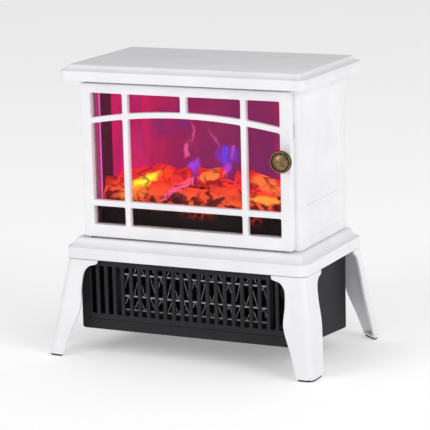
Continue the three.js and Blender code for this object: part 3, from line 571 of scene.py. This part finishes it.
# ---------------------------------------------------------------- blower
# A long black cross-flow wheel turns on a steel shaft between a nylon bearing and a motor,
# inside a duct folded from zinc-plated sheet. A tilt switch stands on the housing's floor.
STEEL = Finish("zinc_plate", Metallic=1.0)
spangle = STEEL.cells(2.5)
STEEL.set(Base_Color=STEEL.blend(spangle, paint(168, 170, 174), paint(206, 208, 211)),
          Roughness=0.3 + 0.18 * STEEL.cloud(4))
STEEL.relief(spangle, 0.01, 0.5)
TURNED = Finish("turned_steel", Metallic=1.0)
TURNED.set(Base_Color=TURNED.blend(TURNED.cloud(5), paint(178, 180, 184), paint(212, 213, 216)),
           Roughness=0.24 + 0.14 * TURNED.cloud(1.5))
TURNED.relief(TURNED.cloud(0.5), 0.01)
MOTOR = Finish("motor_case", Metallic=1.0)
MOTOR.set(Base_Color=MOTOR.blend(MOTOR.cloud(6), paint(150, 152, 156), paint(188, 190, 193)),
          Roughness=0.34 + 0.16 * MOTOR.cloud(2))
MOTOR.relief(MOTOR.cloud(0.8), 0.02)
carry_over(BLACK, "fan_wheel")
carry_over(TURNED, "fan_shaft")
carry_over(NYLON, "fan_bearing", "tilt_switch", round_over=0.4)
carry_over(MOTOR, "fan_motor", round_over=1.0)
carry_over(STEEL, "air_duct", "motor_plate")

# ---------------------------------------------------------------- rear housing cover
# A flat black cover closes the housing behind. Two columns of slots take the air in, four
# screws hold it, and a rubber gland lines the hole for the mains cord.
low, high = box_mm("housing_rear_cover")
gland_low, gland_high = box_mm("cord_gland")
gland = (gland_low + gland_high) / 2
LOUVRES, LOUVRE_LOW, LOUVRE_PITCH, LOUVRE_HALF = 9, 36, 7, 1.8
GLAND_HOLE = 6.3
outlines = [rectangle(low.x, high.x, low.z, high.z, 2, 3)]
for i in range(LOUVRES):
    z = LOUVRE_LOW + i * LOUVRE_PITCH
    for x0, x1 in ((-84, -2), (2, 84)):
        outlines.append(rectangle(x0, x1, z - LOUVRE_HALF, z + LOUVRE_HALF, 1.6, 4))
outlines.append([(gland.x + GLAND_HOLE * math.cos(math.radians(angle)),
                  gland.z + GLAND_HOLE * math.sin(math.radians(angle)))
                 for angle in range(0, 360, 12)])
bm = plate(outlines, low.y, high.y, 0.3)
keep(bm, "rear_cover_plate", "cabinet", "black_moulding", BLACK, "housing_rear_cover")


def turned(profile, steps=48):
    """A shape turned about the Y axis from (radius, distance) pairs, in mm."""
    bm = bmesh.new()
    verts = [bm.verts.new((r, y, 0)) for r, y in profile]
    edges = [bm.edges.new(pair) for pair in zip(verts, verts[1:])]
    bmesh.ops.spin(bm, geom=verts + edges, cent=(0, 0, 0), axis=(0, 1, 0), dvec=(0, 0, 0),
                   angle=math.tau, steps=steps, use_merge=True, use_duplicate=False)
    bmesh.ops.remove_doubles(bm, verts=bm.verts, dist=0.001)
    return bm


reach = gland_high.y - high.y
bm = turned([(3.6, -6.5), (6.0, -6.5), (6.0, 0.3), (8.0, 0.3), (8.5, 0.8), (8.5, 2.2),
             (7.9, reach - 0.3), (7.0, reach), (4.4, reach), (3.6, reach - 0.8), (3.6, -6.5)])
bmesh.ops.translate(bm, verts=bm.verts, vec=(gland.x, high.y, gland.z))
keep(bm, "gland_bush", "cabinet", "black_rubber", RUBBER, "cord_gland")


def screw_head(x, y, z):
    """A low round head marked with a cross, facing the back."""
    radius = 2.6
    bm = turned([(0, 1.5), (radius * 0.55, 1.45), (radius * 0.85, 1.1), (radius, 0.4), (radius, 0),
                 (0, 0)], 24)
    for angle in (0, 90):
        arm = bmesh.ops.create_cube(bm, size=1, matrix=Matrix.Rotation(math.radians(angle), 4, "Y")
                                    @ Matrix.Translation((0, 1.5, 0))
                                    @ Matrix.Diagonal((radius * 1.1, 0.25, 0.7, 1)))
        bmesh.ops.translate(bm, verts=arm["verts"], vec=(0, -0.08, 0))
    bmesh.ops.translate(bm, verts=bm.verts, vec=(x, y, z))
    return bm


def drive_screws(cover, face, places):
    """Screws that hold a cover from behind, at their (x, z) places."""
    for name, (x, z) in places.items():
        keep(screw_head(x, face + 0.1, z), f"{name}_{cover}_screw", "cabinet", "turned_steel",
             TURNED)


drive_screws("housing", high.y, {"lower_left": (-109, 30), "lower_right": (109, 50),
                                 "upper_left": (-109, 92), "upper_right": (109, 92)})

# ---------------------------------------------------------------- front surround
# The surround is the white moulded front of the cabinet. Its upright edges are rounded, and
# its opening is the mouth of the firebox, which the door covers.
low, high = box_mm("front_surround")
bm = bmesh.new()
block(bm, low, high)
bevel(bm, [e for e in bm.edges if upright(e) and e.verts[0].co.y < low.y + 1], 6, 8)
MOUTH_X, MOUTH_Z = (-109.0, 109.0), (129.0, 274.5)
score(bm, ACROSS, *MOUTH_X)
score(bm, UP, *MOUTH_Z)
gone = [f for f in bm.faces if abs(f.normal.y) > 0.9
        and MOUTH_X[0] < f.calc_center_median().x < MOUTH_X[1]
        and MOUTH_Z[0] < f.calc_center_median().z < MOUTH_Z[1]]
bmesh.ops.delete(bm, geom=gone, context="FACES_ONLY")
bmesh.ops.delete(bm, geom=[e for e in bm.edges if not e.link_faces], context="EDGES")
bmesh.ops.bridge_loops(bm, edges=[e for e in bm.edges if e.is_boundary])
keep(bm, "surround_moulding", "cabinet", "white_moulding", WHITE, "front_surround",
     round_over=0.4)

# ---------------------------------------------------------------- side panels
# Two white side walls run from the surround to the back cover. Each has a tall and a low
# panel sunk just below its face.
PANELS = ((163.0, 272.0), (129.0, 158.0))
PANEL_FRONT, PANEL_BACK = -37.75, 50.25
PANEL_SLOPE, PANEL_DEPTH = 0.9, 0.7
for side, sign in (("left", -1), ("right", 1)):
    low, high = box_mm(f"{side}_side_panel")
    bm = bmesh.new()
    block(bm, low, high)
    score(bm, BACK, PANEL_FRONT, PANEL_BACK)
    score(bm, UP, *PANELS[0], *PANELS[1])
    for panel_low, panel_high in PANELS:
        sunk = [f for f in bm.faces if f.normal.x * sign > 0.9
                and PANEL_FRONT < f.calc_center_median().y < PANEL_BACK
                and panel_low < f.calc_center_median().z < panel_high]
        bmesh.ops.inset_region(bm, faces=sunk, thickness=PANEL_SLOPE, depth=-PANEL_DEPTH,
                               use_even_offset=True)
    keep(bm, f"{side}_side_moulding", "cabinet", "white_moulding", WHITE, f"{side}_side_panel",
         round_over=0.3)

# ---------------------------------------------------------------- firebox walls
# The firebox is lined with smoked mirror sheet at its sides and matt black sheet above, so
# that the flames seem to go on past the walls.
MIRROR = Finish("smoked_mirror", Metallic=0.0)
depth = MIRROR.along(1)
BAND_END, LINE_START, LINE_END = (-0.0395, -0.0385), (-0.0385, -0.0379), (-0.0352, -0.0346)
BED_TOP = (0.153, 0.157)
# Painted reflection: the flames' glow in the side walls is painted as emission, bright plum at the
# front with a pink painted glint stripe behind it and dark further back, and painted shade below
# the ember bed's top.
painted_glow_band = 1 - MIRROR.between(depth, *BAND_END)
painted_glint = MIRROR.between(depth, *LINE_START) * (1 - MIRROR.between(depth, *LINE_END))
haze = MIRROR.cloud(20, 3, (1, 1, 0.3))
painted_reflection_and_shade = MIRROR.blend(painted_glow_band, MIRROR.blend(haze, paint(38, 22, 30), paint(56, 30, 42)),
                           MIRROR.blend(haze, paint(150, 52, 95), paint(178, 66, 112)))
painted_reflection_and_shade = MIRROR.blend(painted_glint, painted_reflection_and_shade, paint(232, 104, 200))
above_bed = MIRROR.between(MIRROR.along(2), *BED_TOP)
painted_reflection_and_shade = MIRROR.blend(above_bed, paint(20, 10, 14), painted_reflection_and_shade)
MIRROR.set(Base_Color=paint(14, 8, 12), Emission_Color=painted_reflection_and_shade, Emission_Strength=0.9,
           Roughness=0.12 + 0.1 * haze)
MATT = moulded_black("matt_black_sheet", (34, 22, 30))
carry_over(MIRROR, "firebox_left_wall", "firebox_right_wall")
carry_over(MATT, "firebox_ceiling")

# ---------------------------------------------------------------- flame screen
# The screen is a translucent sheet printed with flames and lit from behind through the
# turning spindle, so it glows crimson, plum and violet.
SCREEN = Finish("flame_film", Roughness=0.4)
across = SCREEN.along(0)
SCREEN_STOPS = [(-108.5, (200, 30, 96)), (-66, (200, 34, 92)), (-60, (184, 32, 84)),
                (-40, (176, 32, 82)), (-8, (150, 36, 86)), (30, (134, 38, 88)),
                (62, (130, 38, 90)), (74, (134, 38, 88)), (84, (170, 38, 82)),
                (108.5, (190, 36, 74))]
SCREEN_HALF = 110
stops = [((x + SCREEN_HALF) / (2 * SCREEN_HALF), paint(*hue)) for x, hue in SCREEN_STOPS]
base = SCREEN.node("ValToRGB", {"stops": stops}, {0: across * (1 / (2 * SCREEN_HALF * MM)) + 0.5})
SCREEN.swirl(16, 9)
tongues = SCREEN.cloud(26, 3, (1.4, 1, 0.45), 0.55)
colour = SCREEN.blend(SCREEN.between(tongues, 0.42, 0.62, 0, 0.35), base, paint(104, 30, 92))
for x, z, half_x, half_z, turn, hue, weight in (
        (-48, 233, 22, 30, 20, (110, 34, 104), 0.6),
        (-24, 240, 12, 18, -15, (118, 40, 128), 0.7),
        (-22, 208, 3.5, 15, 10, (236, 96, 150), 0.8),
        (-15, 226, 3, 16, 4, (226, 84, 150), 0.75),
        (11, 219, 3.5, 17, -32, (210, 80, 160), 0.65),
        (23, 203, 17, 14, 0, (112, 60, 215), 1.0),
        (29, 206, 2.5, 12, 10, (225, 80, 160), 0.6),
        (-13, 189, 7, 12, 10, (170, 66, 235), 1.0),
        (21, 186, 7, 13, 0, (196, 64, 220), 0.95),
        (-84, 200, 16, 40, 5, (222, 44, 116), 0.5),
        (104, 196, 34, 50, 0, (208, 36, 84), 0.9)):
    halo = SCREEN.between(SCREEN.spot(x, z, half_x, half_z, turn), 0, 0.7)
    wisp = halo * SCREEN.between(SCREEN.cloud(9, 3, (1.5, 1, 0.6)), 0.25, 0.6)
    colour = SCREEN.blend(wisp * weight, colour, paint(*hue))
# Painted glow: the printed flames and the light of the lamps behind them are painted together as
# emission colour.
SCREEN.set(Base_Color=paint(5, 2, 4), Specular_IOR_Level=0.02, Emission_Color=colour,
           Emission_Strength=1.0)
SCREEN.relief(SCREEN.cloud(1.2), 0.04, 0.4)
carry_over(SCREEN, "flame_screen")

# ---------------------------------------------------------------- flicker works
# Behind the screen a small motor turns a spindle of bright tabs above a strip of lamps, and
# a sheet with flame-shaped holes masks it. The boards are green glass fibre.
BOARD = Finish("green_board", Coat_Weight=0.3)
BOARD.set(Base_Color=BOARD.blend(BOARD.between(BOARD.cells(7), 0.3, 0.34), paint(20, 84, 48),
                                 paint(30, 108, 64)),
          Roughness=0.4 + 0.15 * BOARD.cloud(3))
BOARD.relief(BOARD.cells(4), 0.05)
carry_over(ALUMINIUM, "flame_mask", "flame_spindle")
carry_over(MOTOR, "spindle_motor", round_over=0.8)
carry_over(STEEL, "spindle_motor_stand", "spindle_end_stand")
carry_over(NYLON, "spindle_bush")
carry_over(BOARD, "ember_led_board", "flame_led_board", "control_board")

# ---------------------------------------------------------------- ember bed
# The ember bed is one thin moulding of amber resin with a painted black crust, lit from
# below. It slopes up toward the screen and is covered with lumps.
low, high = box_mm("ember_bed")
BED_SLOPE = [(-42.8, 141.0), (-37.75, 151.0), (-27.75, 160.0), (-11.4, 170.6)]
BED_WALL = 1.6
FACE_SHARE = 0.3  # the share of the rows that makes the upright front face
LUMP, PEBBLE, LUMP_HEIGHT = 5.5, 2.4, 1.5
bm = bmesh.new()
bmesh.ops.create_grid(bm, x_segments=150, y_segments=44, size=0.5)
for vert in bm.verts:
    x = (low.x + high.x) / 2 + vert.co.x * (high.x - low.x - 1)
    run = vert.co.y + 0.5
    y = low.y + (high.y - low.y) * max(0, run - FACE_SHARE) / (1 - FACE_SHARE)
    if run < FACE_SHARE:
        z = low.z + (BED_SLOPE[0][1] - low.z) * run / FACE_SHARE
    else:
        z = smooth_through(BED_SLOPE, y)
    lump = (noise.noise(Vector((x, y * 1.4, z)) / LUMP)
            + 0.5 * noise.noise(Vector((x, y, z)) / PEBBLE))
    edge = min(1, (high.x - abs(x)) / 4, max(0, run * 6))
    lift = (0.4 + lump) * LUMP_HEIGHT * max(0, edge)
    bulge = lift * 0.6 if run < 0.35 else 0
    rise = lift if run >= FACE_SHARE else 0
    vert.co = (x, max(low.y, y - bulge), min(z + rise, high.z))
bmesh.ops.recalc_face_normals(bm, faces=bm.faces)
bmesh.ops.solidify(bm, geom=bm.faces[:], thickness=BED_WALL)
EMBER = Finish("ember_resin", Roughness=0.7, Specular_IOR_Level=0.1)
crust = EMBER.between(EMBER.cells(7), 0.28, 0.62)
# Painted glow: the lamps' light is painted as emission, in pools at listed spots and rising with
# height, showing between the crust's cells.
glow_spots = (EMBER.spot(3, 148, 26, 9) + EMBER.spot(-92, 153, 14, 8) * 0.7
              + EMBER.spot(66, 146, 14, 8) * 0.9 + EMBER.spot(-40, 150, 20, 6) * 0.5)
warm = EMBER.between(EMBER.along(2), 0.152, 0.166)
lit = EMBER.between(glow_spots * 0.75 + warm * 0.8, 0, 1)
EMBER.set(Base_Color=EMBER.blend(EMBER.cloud(3), paint(14, 8, 9), paint(30, 19, 18)),
          Emission_Color=EMBER.blend(crust * lit, paint(12, 5, 6), paint(206, 44, 30)),
          Emission_Strength=0.8, Roughness=0.6 + 0.3 * EMBER.cloud(2))
EMBER.relief(EMBER.cells(2.2) + EMBER.cloud(1), 0.4)
keep(bm, "ember_bed_crust", "cabinet", "ember_resin", EMBER, "ember_bed", smooth=180)

# ---------------------------------------------------------------- logs
# The logs are a single hollow resin moulding with split and charred bark painted on, and
# they glow from the lamps below: yellow in the cracks, orange low down and red above.
LOGS = (
    # start and end (x, y, z), radius at each end, wobble seed
    ((-105, -24, 167), (-76, -22, 171), 10.5, 11.0, 1),
    ((-88, -25, 171), (-35, -25, 181), 13.0, 12.0, 2),
    ((-42, -22, 177), (-14, -24, 181), 11.5, 10.0, 3),
    ((-1, -24, 182), (23, -22, 181), 10.0, 10.5, 4),
    ((14, -24, 173), (46, -26, 168), 11.0, 10.0, 5),
    ((42, -24, 184), (100, -27, 170), 10.5, 11.5, 6),
    ((-103, -32, 160), (-42, -33, 163), 8.5, 9.0, 7),
    ((-46, -33, 161), (16, -32, 164), 8.5, 9.0, 8),
    ((8, -32, 161), (60, -33, 161), 8.5, 8.5, 9),
    ((52, -32, 162), (103, -32, 160), 9.0, 8.5, 10),
)


RIDGE, RIDGE_LENGTH, RIDGE_HEIGHT = 2.6, 14, 1.3
KNOT, KNOT_LENGTH, KNOT_HEIGHT = 9, 11, 2.6
LOGS_FRONT, LOGS_BACK = -41.0, -12.4


def rough_log(start, end, radius_0, radius_1, seed):
    """One log with ridged bark, drawn upright and then laid from start to end."""
    start, end = Vector(start), Vector(end)
    along = end - start
    log = bmesh.new()
    bmesh.ops.create_cone(log, cap_ends=True, segments=40, radius1=radius_0, radius2=radius_1,
                          depth=along.length)
    sides = [e for e in log.edges if upright(e)]
    bmesh.ops.subdivide_edges(log, edges=sides, cuts=int(along.length / 2), use_grid_fill=True)
    drift = Vector((seed * 31.7, seed * 17.3, 0))
    for vert in log.verts:
        out = Vector((vert.co.x, vert.co.y, 0))
        ridge = Vector((out.x / RIDGE, out.y / RIDGE, vert.co.z / RIDGE_LENGTH))
        knot = Vector((out.x / KNOT, out.y / KNOT, vert.co.z / KNOT_LENGTH))
        bark = RIDGE_HEIGHT * noise.noise(ridge + drift) + KNOT_HEIGHT * noise.noise(knot + drift)
        if out.length > 0.01:
            vert.co += out.normalized() * bark
    turn = along.to_track_quat("Z", "Y").to_matrix().to_4x4()
    bmesh.ops.transform(log, matrix=Matrix.Translation((start + end) / 2) @ turn, verts=log.verts)
    return log


bm = bmesh.new()
for log in LOGS:
    join(bm, rough_log(*log))
for vert in bm.verts:
    vert.co.y = min(max(vert.co.y, LOGS_FRONT), LOGS_BACK)
LOG = Finish("log_resin", Roughness=0.6)
height = LOG.along(2)
# Painted glow: the lamps' light is painted as emission colour, orange low down and red higher up.
hues = LOG.between(height, 0.158, 0.197)
heat = hues + 0.5 * (LOG.cloud(6, 4) - 0.5)
colour = LOG.node("ValToRGB", {"stops": [(0.0, paint(236, 84, 44)), (0.3, paint(238, 66, 42)),
                                         (0.55, paint(228, 44, 44)), (1.0, paint(220, 34, 46))]},
                  {0: heat})
LOG.swirl(12, 4)
shade = LOG.between(LOG.cloud(16, 4, (0.7, 1, 1.3)), 0.46, 0.66)
colour = LOG.blend(shade * 0.75, colour, paint(150, 20, 28))
# The dark pattern is made heavier towards the bottom.
low_down = 1 - LOG.between(height, 0.160, 0.172)
charred = LOG.between(LOG.cloud(10, 5, (0.8, 1, 1.2)) + 0.16 * low_down, 0.6, 0.68)
colour = LOG.blend(charred * 0.9, colour, paint(48, 12, 20))
# Painted light at listed spots: yellow, orange and pink pools of the lamps' glow, and two darker
# patches.
for x, z, half_x, half_z, turn, hue, weight in (
        (-56, 178, 27, 8, -27, (255, 196, 30), 1.0),
        (-57, 178, 17, 4, -27, (255, 228, 60), 0.9),
        (-70, 164, 24, 9, -15, (255, 128, 50), 0.8),
        (-22, 171, 26, 5, -35, (248, 84, 132), 0.9),
        (-18, 162, 12, 9, 0, (60, 12, 26), 0.85),
        (13, 186, 14, 7, -20, (255, 134, 60), 0.8),
        (-36, 184, 12, 8, 0, (240, 60, 36), 0.8),
        (78, 181, 26, 8, 20, (255, 120, 60), 0.8),
        (78, 166, 24, 5, 5, (255, 160, 62), 0.8),
        (-60, 194, 16, 3, -8, (70, 14, 22), 0.9)):
    ragged = LOG.spot(x, z, half_x, half_z, turn) + 0.45 * (LOG.cloud(5) - 0.5)
    colour = LOG.blend(LOG.between(ragged, 0.1, 0.45) * weight, colour, paint(*hue))
bark_line = LOG.cells(9, (0.3, 1, 1))
crack = 1 - LOG.between(LOG.node("TexVoronoi", {"feature": "DISTANCE_TO_EDGE"}, {
    "Vector": LOG.node("Mapping", None, {"Vector": LOG.place, "Scale": (0.45, 1, 1)}),
    "Scale": 85.0}), 0.03, 0.12)
colour = LOG.blend(crack * LOG.between(LOG.cloud(16), 0.4, 0.6) * 0.7, colour, paint(120, 14, 18))
LOG.set(Base_Color=paint(20, 7, 6), Specular_IOR_Level=0.1, Emission_Color=colour,
        Emission_Strength=1.15, Roughness=0.5 + 0.2 * LOG.cloud(3))
LOG.relief(bark_line + LOG.cloud(1.5), 0.5)
keep(bm, "log_pile", "cabinet", "log_resin", LOG, "log_set", smooth=180)

# ---------------------------------------------------------------- door
# The door is one white moulding whose bars make ten lights: two rows above an arched bar
# and a low row under the rail. Its rims are rounded over, and the pane sits in a rebate.
DOOR_HALF, DOOR_LOW, DOOR_HIGH = 115.0, 121.6, 279.0
LIGHT_EDGE, MULLION_OUT, MULLION_IN, CENTRE_BAR = 103.7, 67.8, 62.0, 3.3
LIGHT_TOP, ARCH_SPRING, ARCH_CROWN, ARCH_THICK = 269.4, 243.8, 253.2, 5.8
RAIL_TOP, RAIL_BOTTOM, LIGHT_BOTTOM = 159.8, 153.6, 134.4


def arch(x):
    return ARCH_SPRING + (ARCH_CROWN - ARCH_SPRING) * (1 - (x / LIGHT_EDGE) ** 2)


def arched_light(x0, x1, over):
    """A light above or below the arched bar."""
    steps = max(4, int((x1 - x0) / 5))
    edge = [(x0 + (x1 - x0) * i / steps) for i in range(steps + 1)]
    if over:
        return [(x, arch(x)) for x in edge] + [(x1, LIGHT_TOP), (x0, LIGHT_TOP)]
    return [(x0, RAIL_TOP), (x1, RAIL_TOP)] + [(x, arch(x) - ARCH_THICK) for x in reversed(edge)]


low, high = box_mm("door_frame")
columns = ((-LIGHT_EDGE, -MULLION_OUT), (-MULLION_IN, MULLION_IN), (MULLION_OUT, LIGHT_EDGE))
lights = [arched_light(x0, x1, False) for x0, x1 in columns]
lights += [rectangle(x0, x1, LIGHT_BOTTOM, RAIL_BOTTOM) for x0, x1 in columns]
lights += [arched_light(x0, x1, True) for x0, x1 in (columns[0], (-MULLION_IN, -CENTRE_BAR),
                                                     (CENTRE_BAR, MULLION_IN), columns[2])]
outline = rectangle(-DOOR_HALF, DOOR_HALF, DOOR_LOW, DOOR_HIGH, 1.6)
REBATE, REBATE_EDGES = 2.6, (-104.6, 104.6, 133.5, 270.3)
bm = plate([outline] + [rounded(light, 2.0) for light in lights], low.y, high.y - REBATE, 0.9, 3)
rim = plate([outline, rectangle(*REBATE_EDGES)], high.y - REBATE - 0.01, high.y, 0.3, 1)
join(bm, rim)
DOOR_WHITE = moulded_white("door_white", (240, 239, 242))
keep(bm, "door_moulding", "door", "white_moulding", DOOR_WHITE, "door_frame", smooth=40)

# ---------------------------------------------------------------- pane and retainer
# A clear flat pane lies in the rebate at the door's back, and a thin plated frame clipped
# over the door's back holds it.
GLASS = Finish("clear_pane", Roughness=0.03, IOR=1.5)
smear = GLASS.between(GLASS.cloud(45, 4), 0.4, 0.8)
GLASS.set(Base_Color=paint(224, 230, 234), Roughness=0.03 + 0.04 * smear,
          Alpha=0.003 + 0.003 * smear)
GLASS.relief(GLASS.cloud(60, 1), 0.02, 0.3)
carry_over(GLASS, "door_glass")
carry_over(STEEL, "glass_retainer")

# ---------------------------------------------------------------- knob
# The knob is turned from brass and aged, dark in the groove round its face, with painted
# shade on its outer rim. A screw from behind the door holds it.
low, high = box_mm("door_knob")
centre = (low + high) / 2
BRASS = Finish("antique_brass", Metallic=0.85)
patina = BRASS.cloud(3.5, 4)
off_x = BRASS.along(0) - centre.x * MM
off_z = BRASS.along(2) - centre.z * MM
from_axis = (off_x * off_x + off_z * off_z) ** 0.5
GROOVE_START, GROOVE_END, RIM = (0.0078, 0.0085), (0.0094, 0.0100), (0.0104, 0.0112)
groove = BRASS.between(from_axis, *GROOVE_START) * (1 - BRASS.between(from_axis, *GROOVE_END))
# Dark patina in the groove, and painted shade on the outer rim.
patina_and_shade = groove + BRASS.between(from_axis, *RIM)
worn = BRASS.blend(BRASS.between(patina, 0.35, 0.7), paint(146, 122, 84), paint(108, 86, 56))
BRASS.set(Base_Color=BRASS.blend(0.9 * patina_and_shade, worn, paint(34, 27, 18)),
          Roughness=0.26 + 0.16 * patina)
BRASS.relief(BRASS.cloud(0.7), 0.03)
KNOB_PROFILE = [(0, 0), (3.8, 0), (4.0, 0.2), (4.0, 1.0), (3.8, 1.4), (3.8, 6.0),
                (4.2, 7.4), (5.2, 8.6), (7.4, 9.5), (9.6, 10.2), (10.5, 10.7), (11.1, 11.6),
                (11.3, 12.9), (11.1, 13.9), (10.6, 14.7), (9.9, 14.9), (9.3, 14.6), (8.9, 14.2),
                (8.4, 14.3), (7.6, 15.1), (6.6, 15.8), (5.2, 16.3), (3.0, 16.8), (0, 17)]
bm = turned([(r, -d) for r, d in KNOB_PROFILE], 72)
bmesh.ops.translate(bm, verts=bm.verts, vec=(centre.x, high.y, centre.z))
keep(bm, "turned_knob", "door", "antique_brass", BRASS, "door_knob", smooth=50)
carry_over(TURNED, "knob_screw")

# ---------------------------------------------------------------- hinges and catch
# The door turns on two steel pins held by plated brackets above and below it, and a magnet
# keeps it shut against a small plate in the door's back.
MAGNET = moulded_black("ferrite_magnet", (58, 58, 62), 1.2)
carry_over(STEEL, "upper_hinge_bracket", "lower_hinge_bracket", "strike_plate")
carry_over(TURNED, "upper_hinge_pin", "lower_hinge_pin")
carry_over(MAGNET, "door_magnet", round_over=0.3)

# ---------------------------------------------------------------- back cover and switches
# The back cover is a flat white moulding with vent slots, held by four screws. Three rocker
# switches in a black bezel work the flames, the low heat and the high heat.
low, high = box_mm("back_cover")
bezel_low, bezel_high = box_mm("switch_bezel")
bezel = (bezel_low + bezel_high) / 2
WINDOW_X, WINDOW_Z = 25.3, 9.8
VENTS, VENT_PITCH, VENT_HALF = 14, 9, 2
outlines = [rectangle(low.x, high.x, low.z, high.z, 2, 3),
            rectangle(bezel.x - WINDOW_X, bezel.x + WINDOW_X,
                      bezel.z - WINDOW_Z, bezel.z + WINDOW_Z, 1, 2)]
for i in range(VENTS):
    x = (i - (VENTS - 1) / 2) * VENT_PITCH
    for z0, z1 in ((240, 266), (132, 158)):
        outlines.append(rectangle(x - VENT_HALF, x + VENT_HALF, z0, z1, 1.9, 4))
bm = plate(outlines, low.y, high.y, 0.4)
keep(bm, "back_plate", "cabinet", "white_moulding", WHITE, "back_cover")
ROCKER = moulded_black("rocker_black", (36, 36, 39), 0.9)
carry_over(BLACK, "switch_bezel", round_over=0.5)
carry_over(ROCKER, "flame_switch", "low_heat_switch", "high_heat_switch", round_over=0.5)
drive_screws("cover", high.y, {"lower_left": (-111, 128), "lower_right": (111, 128),
                               "upper_left": (-111, 273), "upper_right": (111, 273)})

# ---------------------------------------------------------------- lid
# The lid is a hollow white moulding that overhangs the cabinet all round: an upright
# fascia, a small step, then a cove up to its flat top. A deck closes the cabinet under it.
carry_over(WHITE, "top_deck", round_over=0.3)
low, high = box_mm("lid")
LID_PROFILE = [(0, 0.4), (0, 10.1), (0.2, 10.45), (0.7, 10.7), (2.0, 10.9), (3.6, 11.3),
               (4.9, 11.9), (6.0, 12.6), (6.8, 13.5), (7.3, 14.5), (7.6, 15.1), (8.0, 15.5),
               (8.5, 15.85), (9.0, 16.0)]
LID_CAVITY = [(2.5, 0), (2.5, 8.6), (9.0, 13.5)]
LID_CORNER = 9.8
bm = hollow_moulding(low, high, LID_CORNER, LID_PROFILE, LID_CAVITY)
keep(bm, "lid_moulding", "cabinet", "white_moulding", WHITE, "lid")

# ---------------------------------------------------------------- floor, lights and camera
# A plain pale floor under soft light: two broad softboxes stand in front, one at each side,
# and the room gives an even fill.
FLOOR = Finish("pale_floor", Roughness=0.95, Specular_IOR_Level=0.1)
FLOOR.set(Base_Color=FLOOR.blend(FLOOR.cloud(400), paint(244, 244, 245), paint(248, 248, 249)),
          Emission_Color=(1, 1, 1, 1), Emission_Strength=0.27)
bm = bmesh.new()
bmesh.ops.create_grid(bm, x_segments=1, y_segments=1, size=12)
mesh = bpy.data.meshes.new("floor")
bm.to_mesh(mesh)
bm.free()
mesh.materials.append(FLOOR.material)
floor = bpy.data.objects.new("floor", mesh)
bpy.context.scene.collection.objects.link(floor)


BOX_SIZE, AIM = 1.6, Vector((0, 0, 0.15))


def softbox(name, place, power):
    """A square light that faces the object."""
    light = bpy.data.lights.new(name, "AREA")
    light.shape = "SQUARE"
    light.size = BOX_SIZE
    light.energy = power
    holder = bpy.data.objects.new(name, light)
    holder.location = place
    holder.rotation_euler = (AIM - Vector(place)).to_track_quat("-Z", "Y").to_euler()
    bpy.context.scene.collection.objects.link(holder)


softbox("left_softbox", (-1.6, -2.6, 1.4), 27)
softbox("right_softbox", (2.8, -0.9, 1.4), 33)

world = bpy.data.worlds.new("studio")
bpy.context.scene.world = world
world.use_nodes = True
room = world.node_tree.nodes["Background"].inputs
room["Color"].default_value = (1, 1, 1, 1)
room["Strength"].default_value = 0.55
bpy.context.scene.view_settings.view_transform = "Standard"

camera_data = bpy.data.cameras.new("camera")
camera_data.lens = 179.65
camera_data.sensor_width = 36
camera_data.clip_start, camera_data.clip_end = 0.1, 50
camera = bpy.data.objects.new("camera", camera_data)
right, up, back = ((0.90472, 0.42533, -0.02378), (-0.06659, 0.19634, 0.97827),
                   (0.42076, -0.88348, 0.20596))
stand = (0.92582, -1.93771, 0.59028)
camera.matrix_world = Matrix([*zip(right, up, back, stand), (0, 0, 0, 1)])
bpy.context.scene.collection.objects.link(camera)
bpy.context.scene.camera = camera
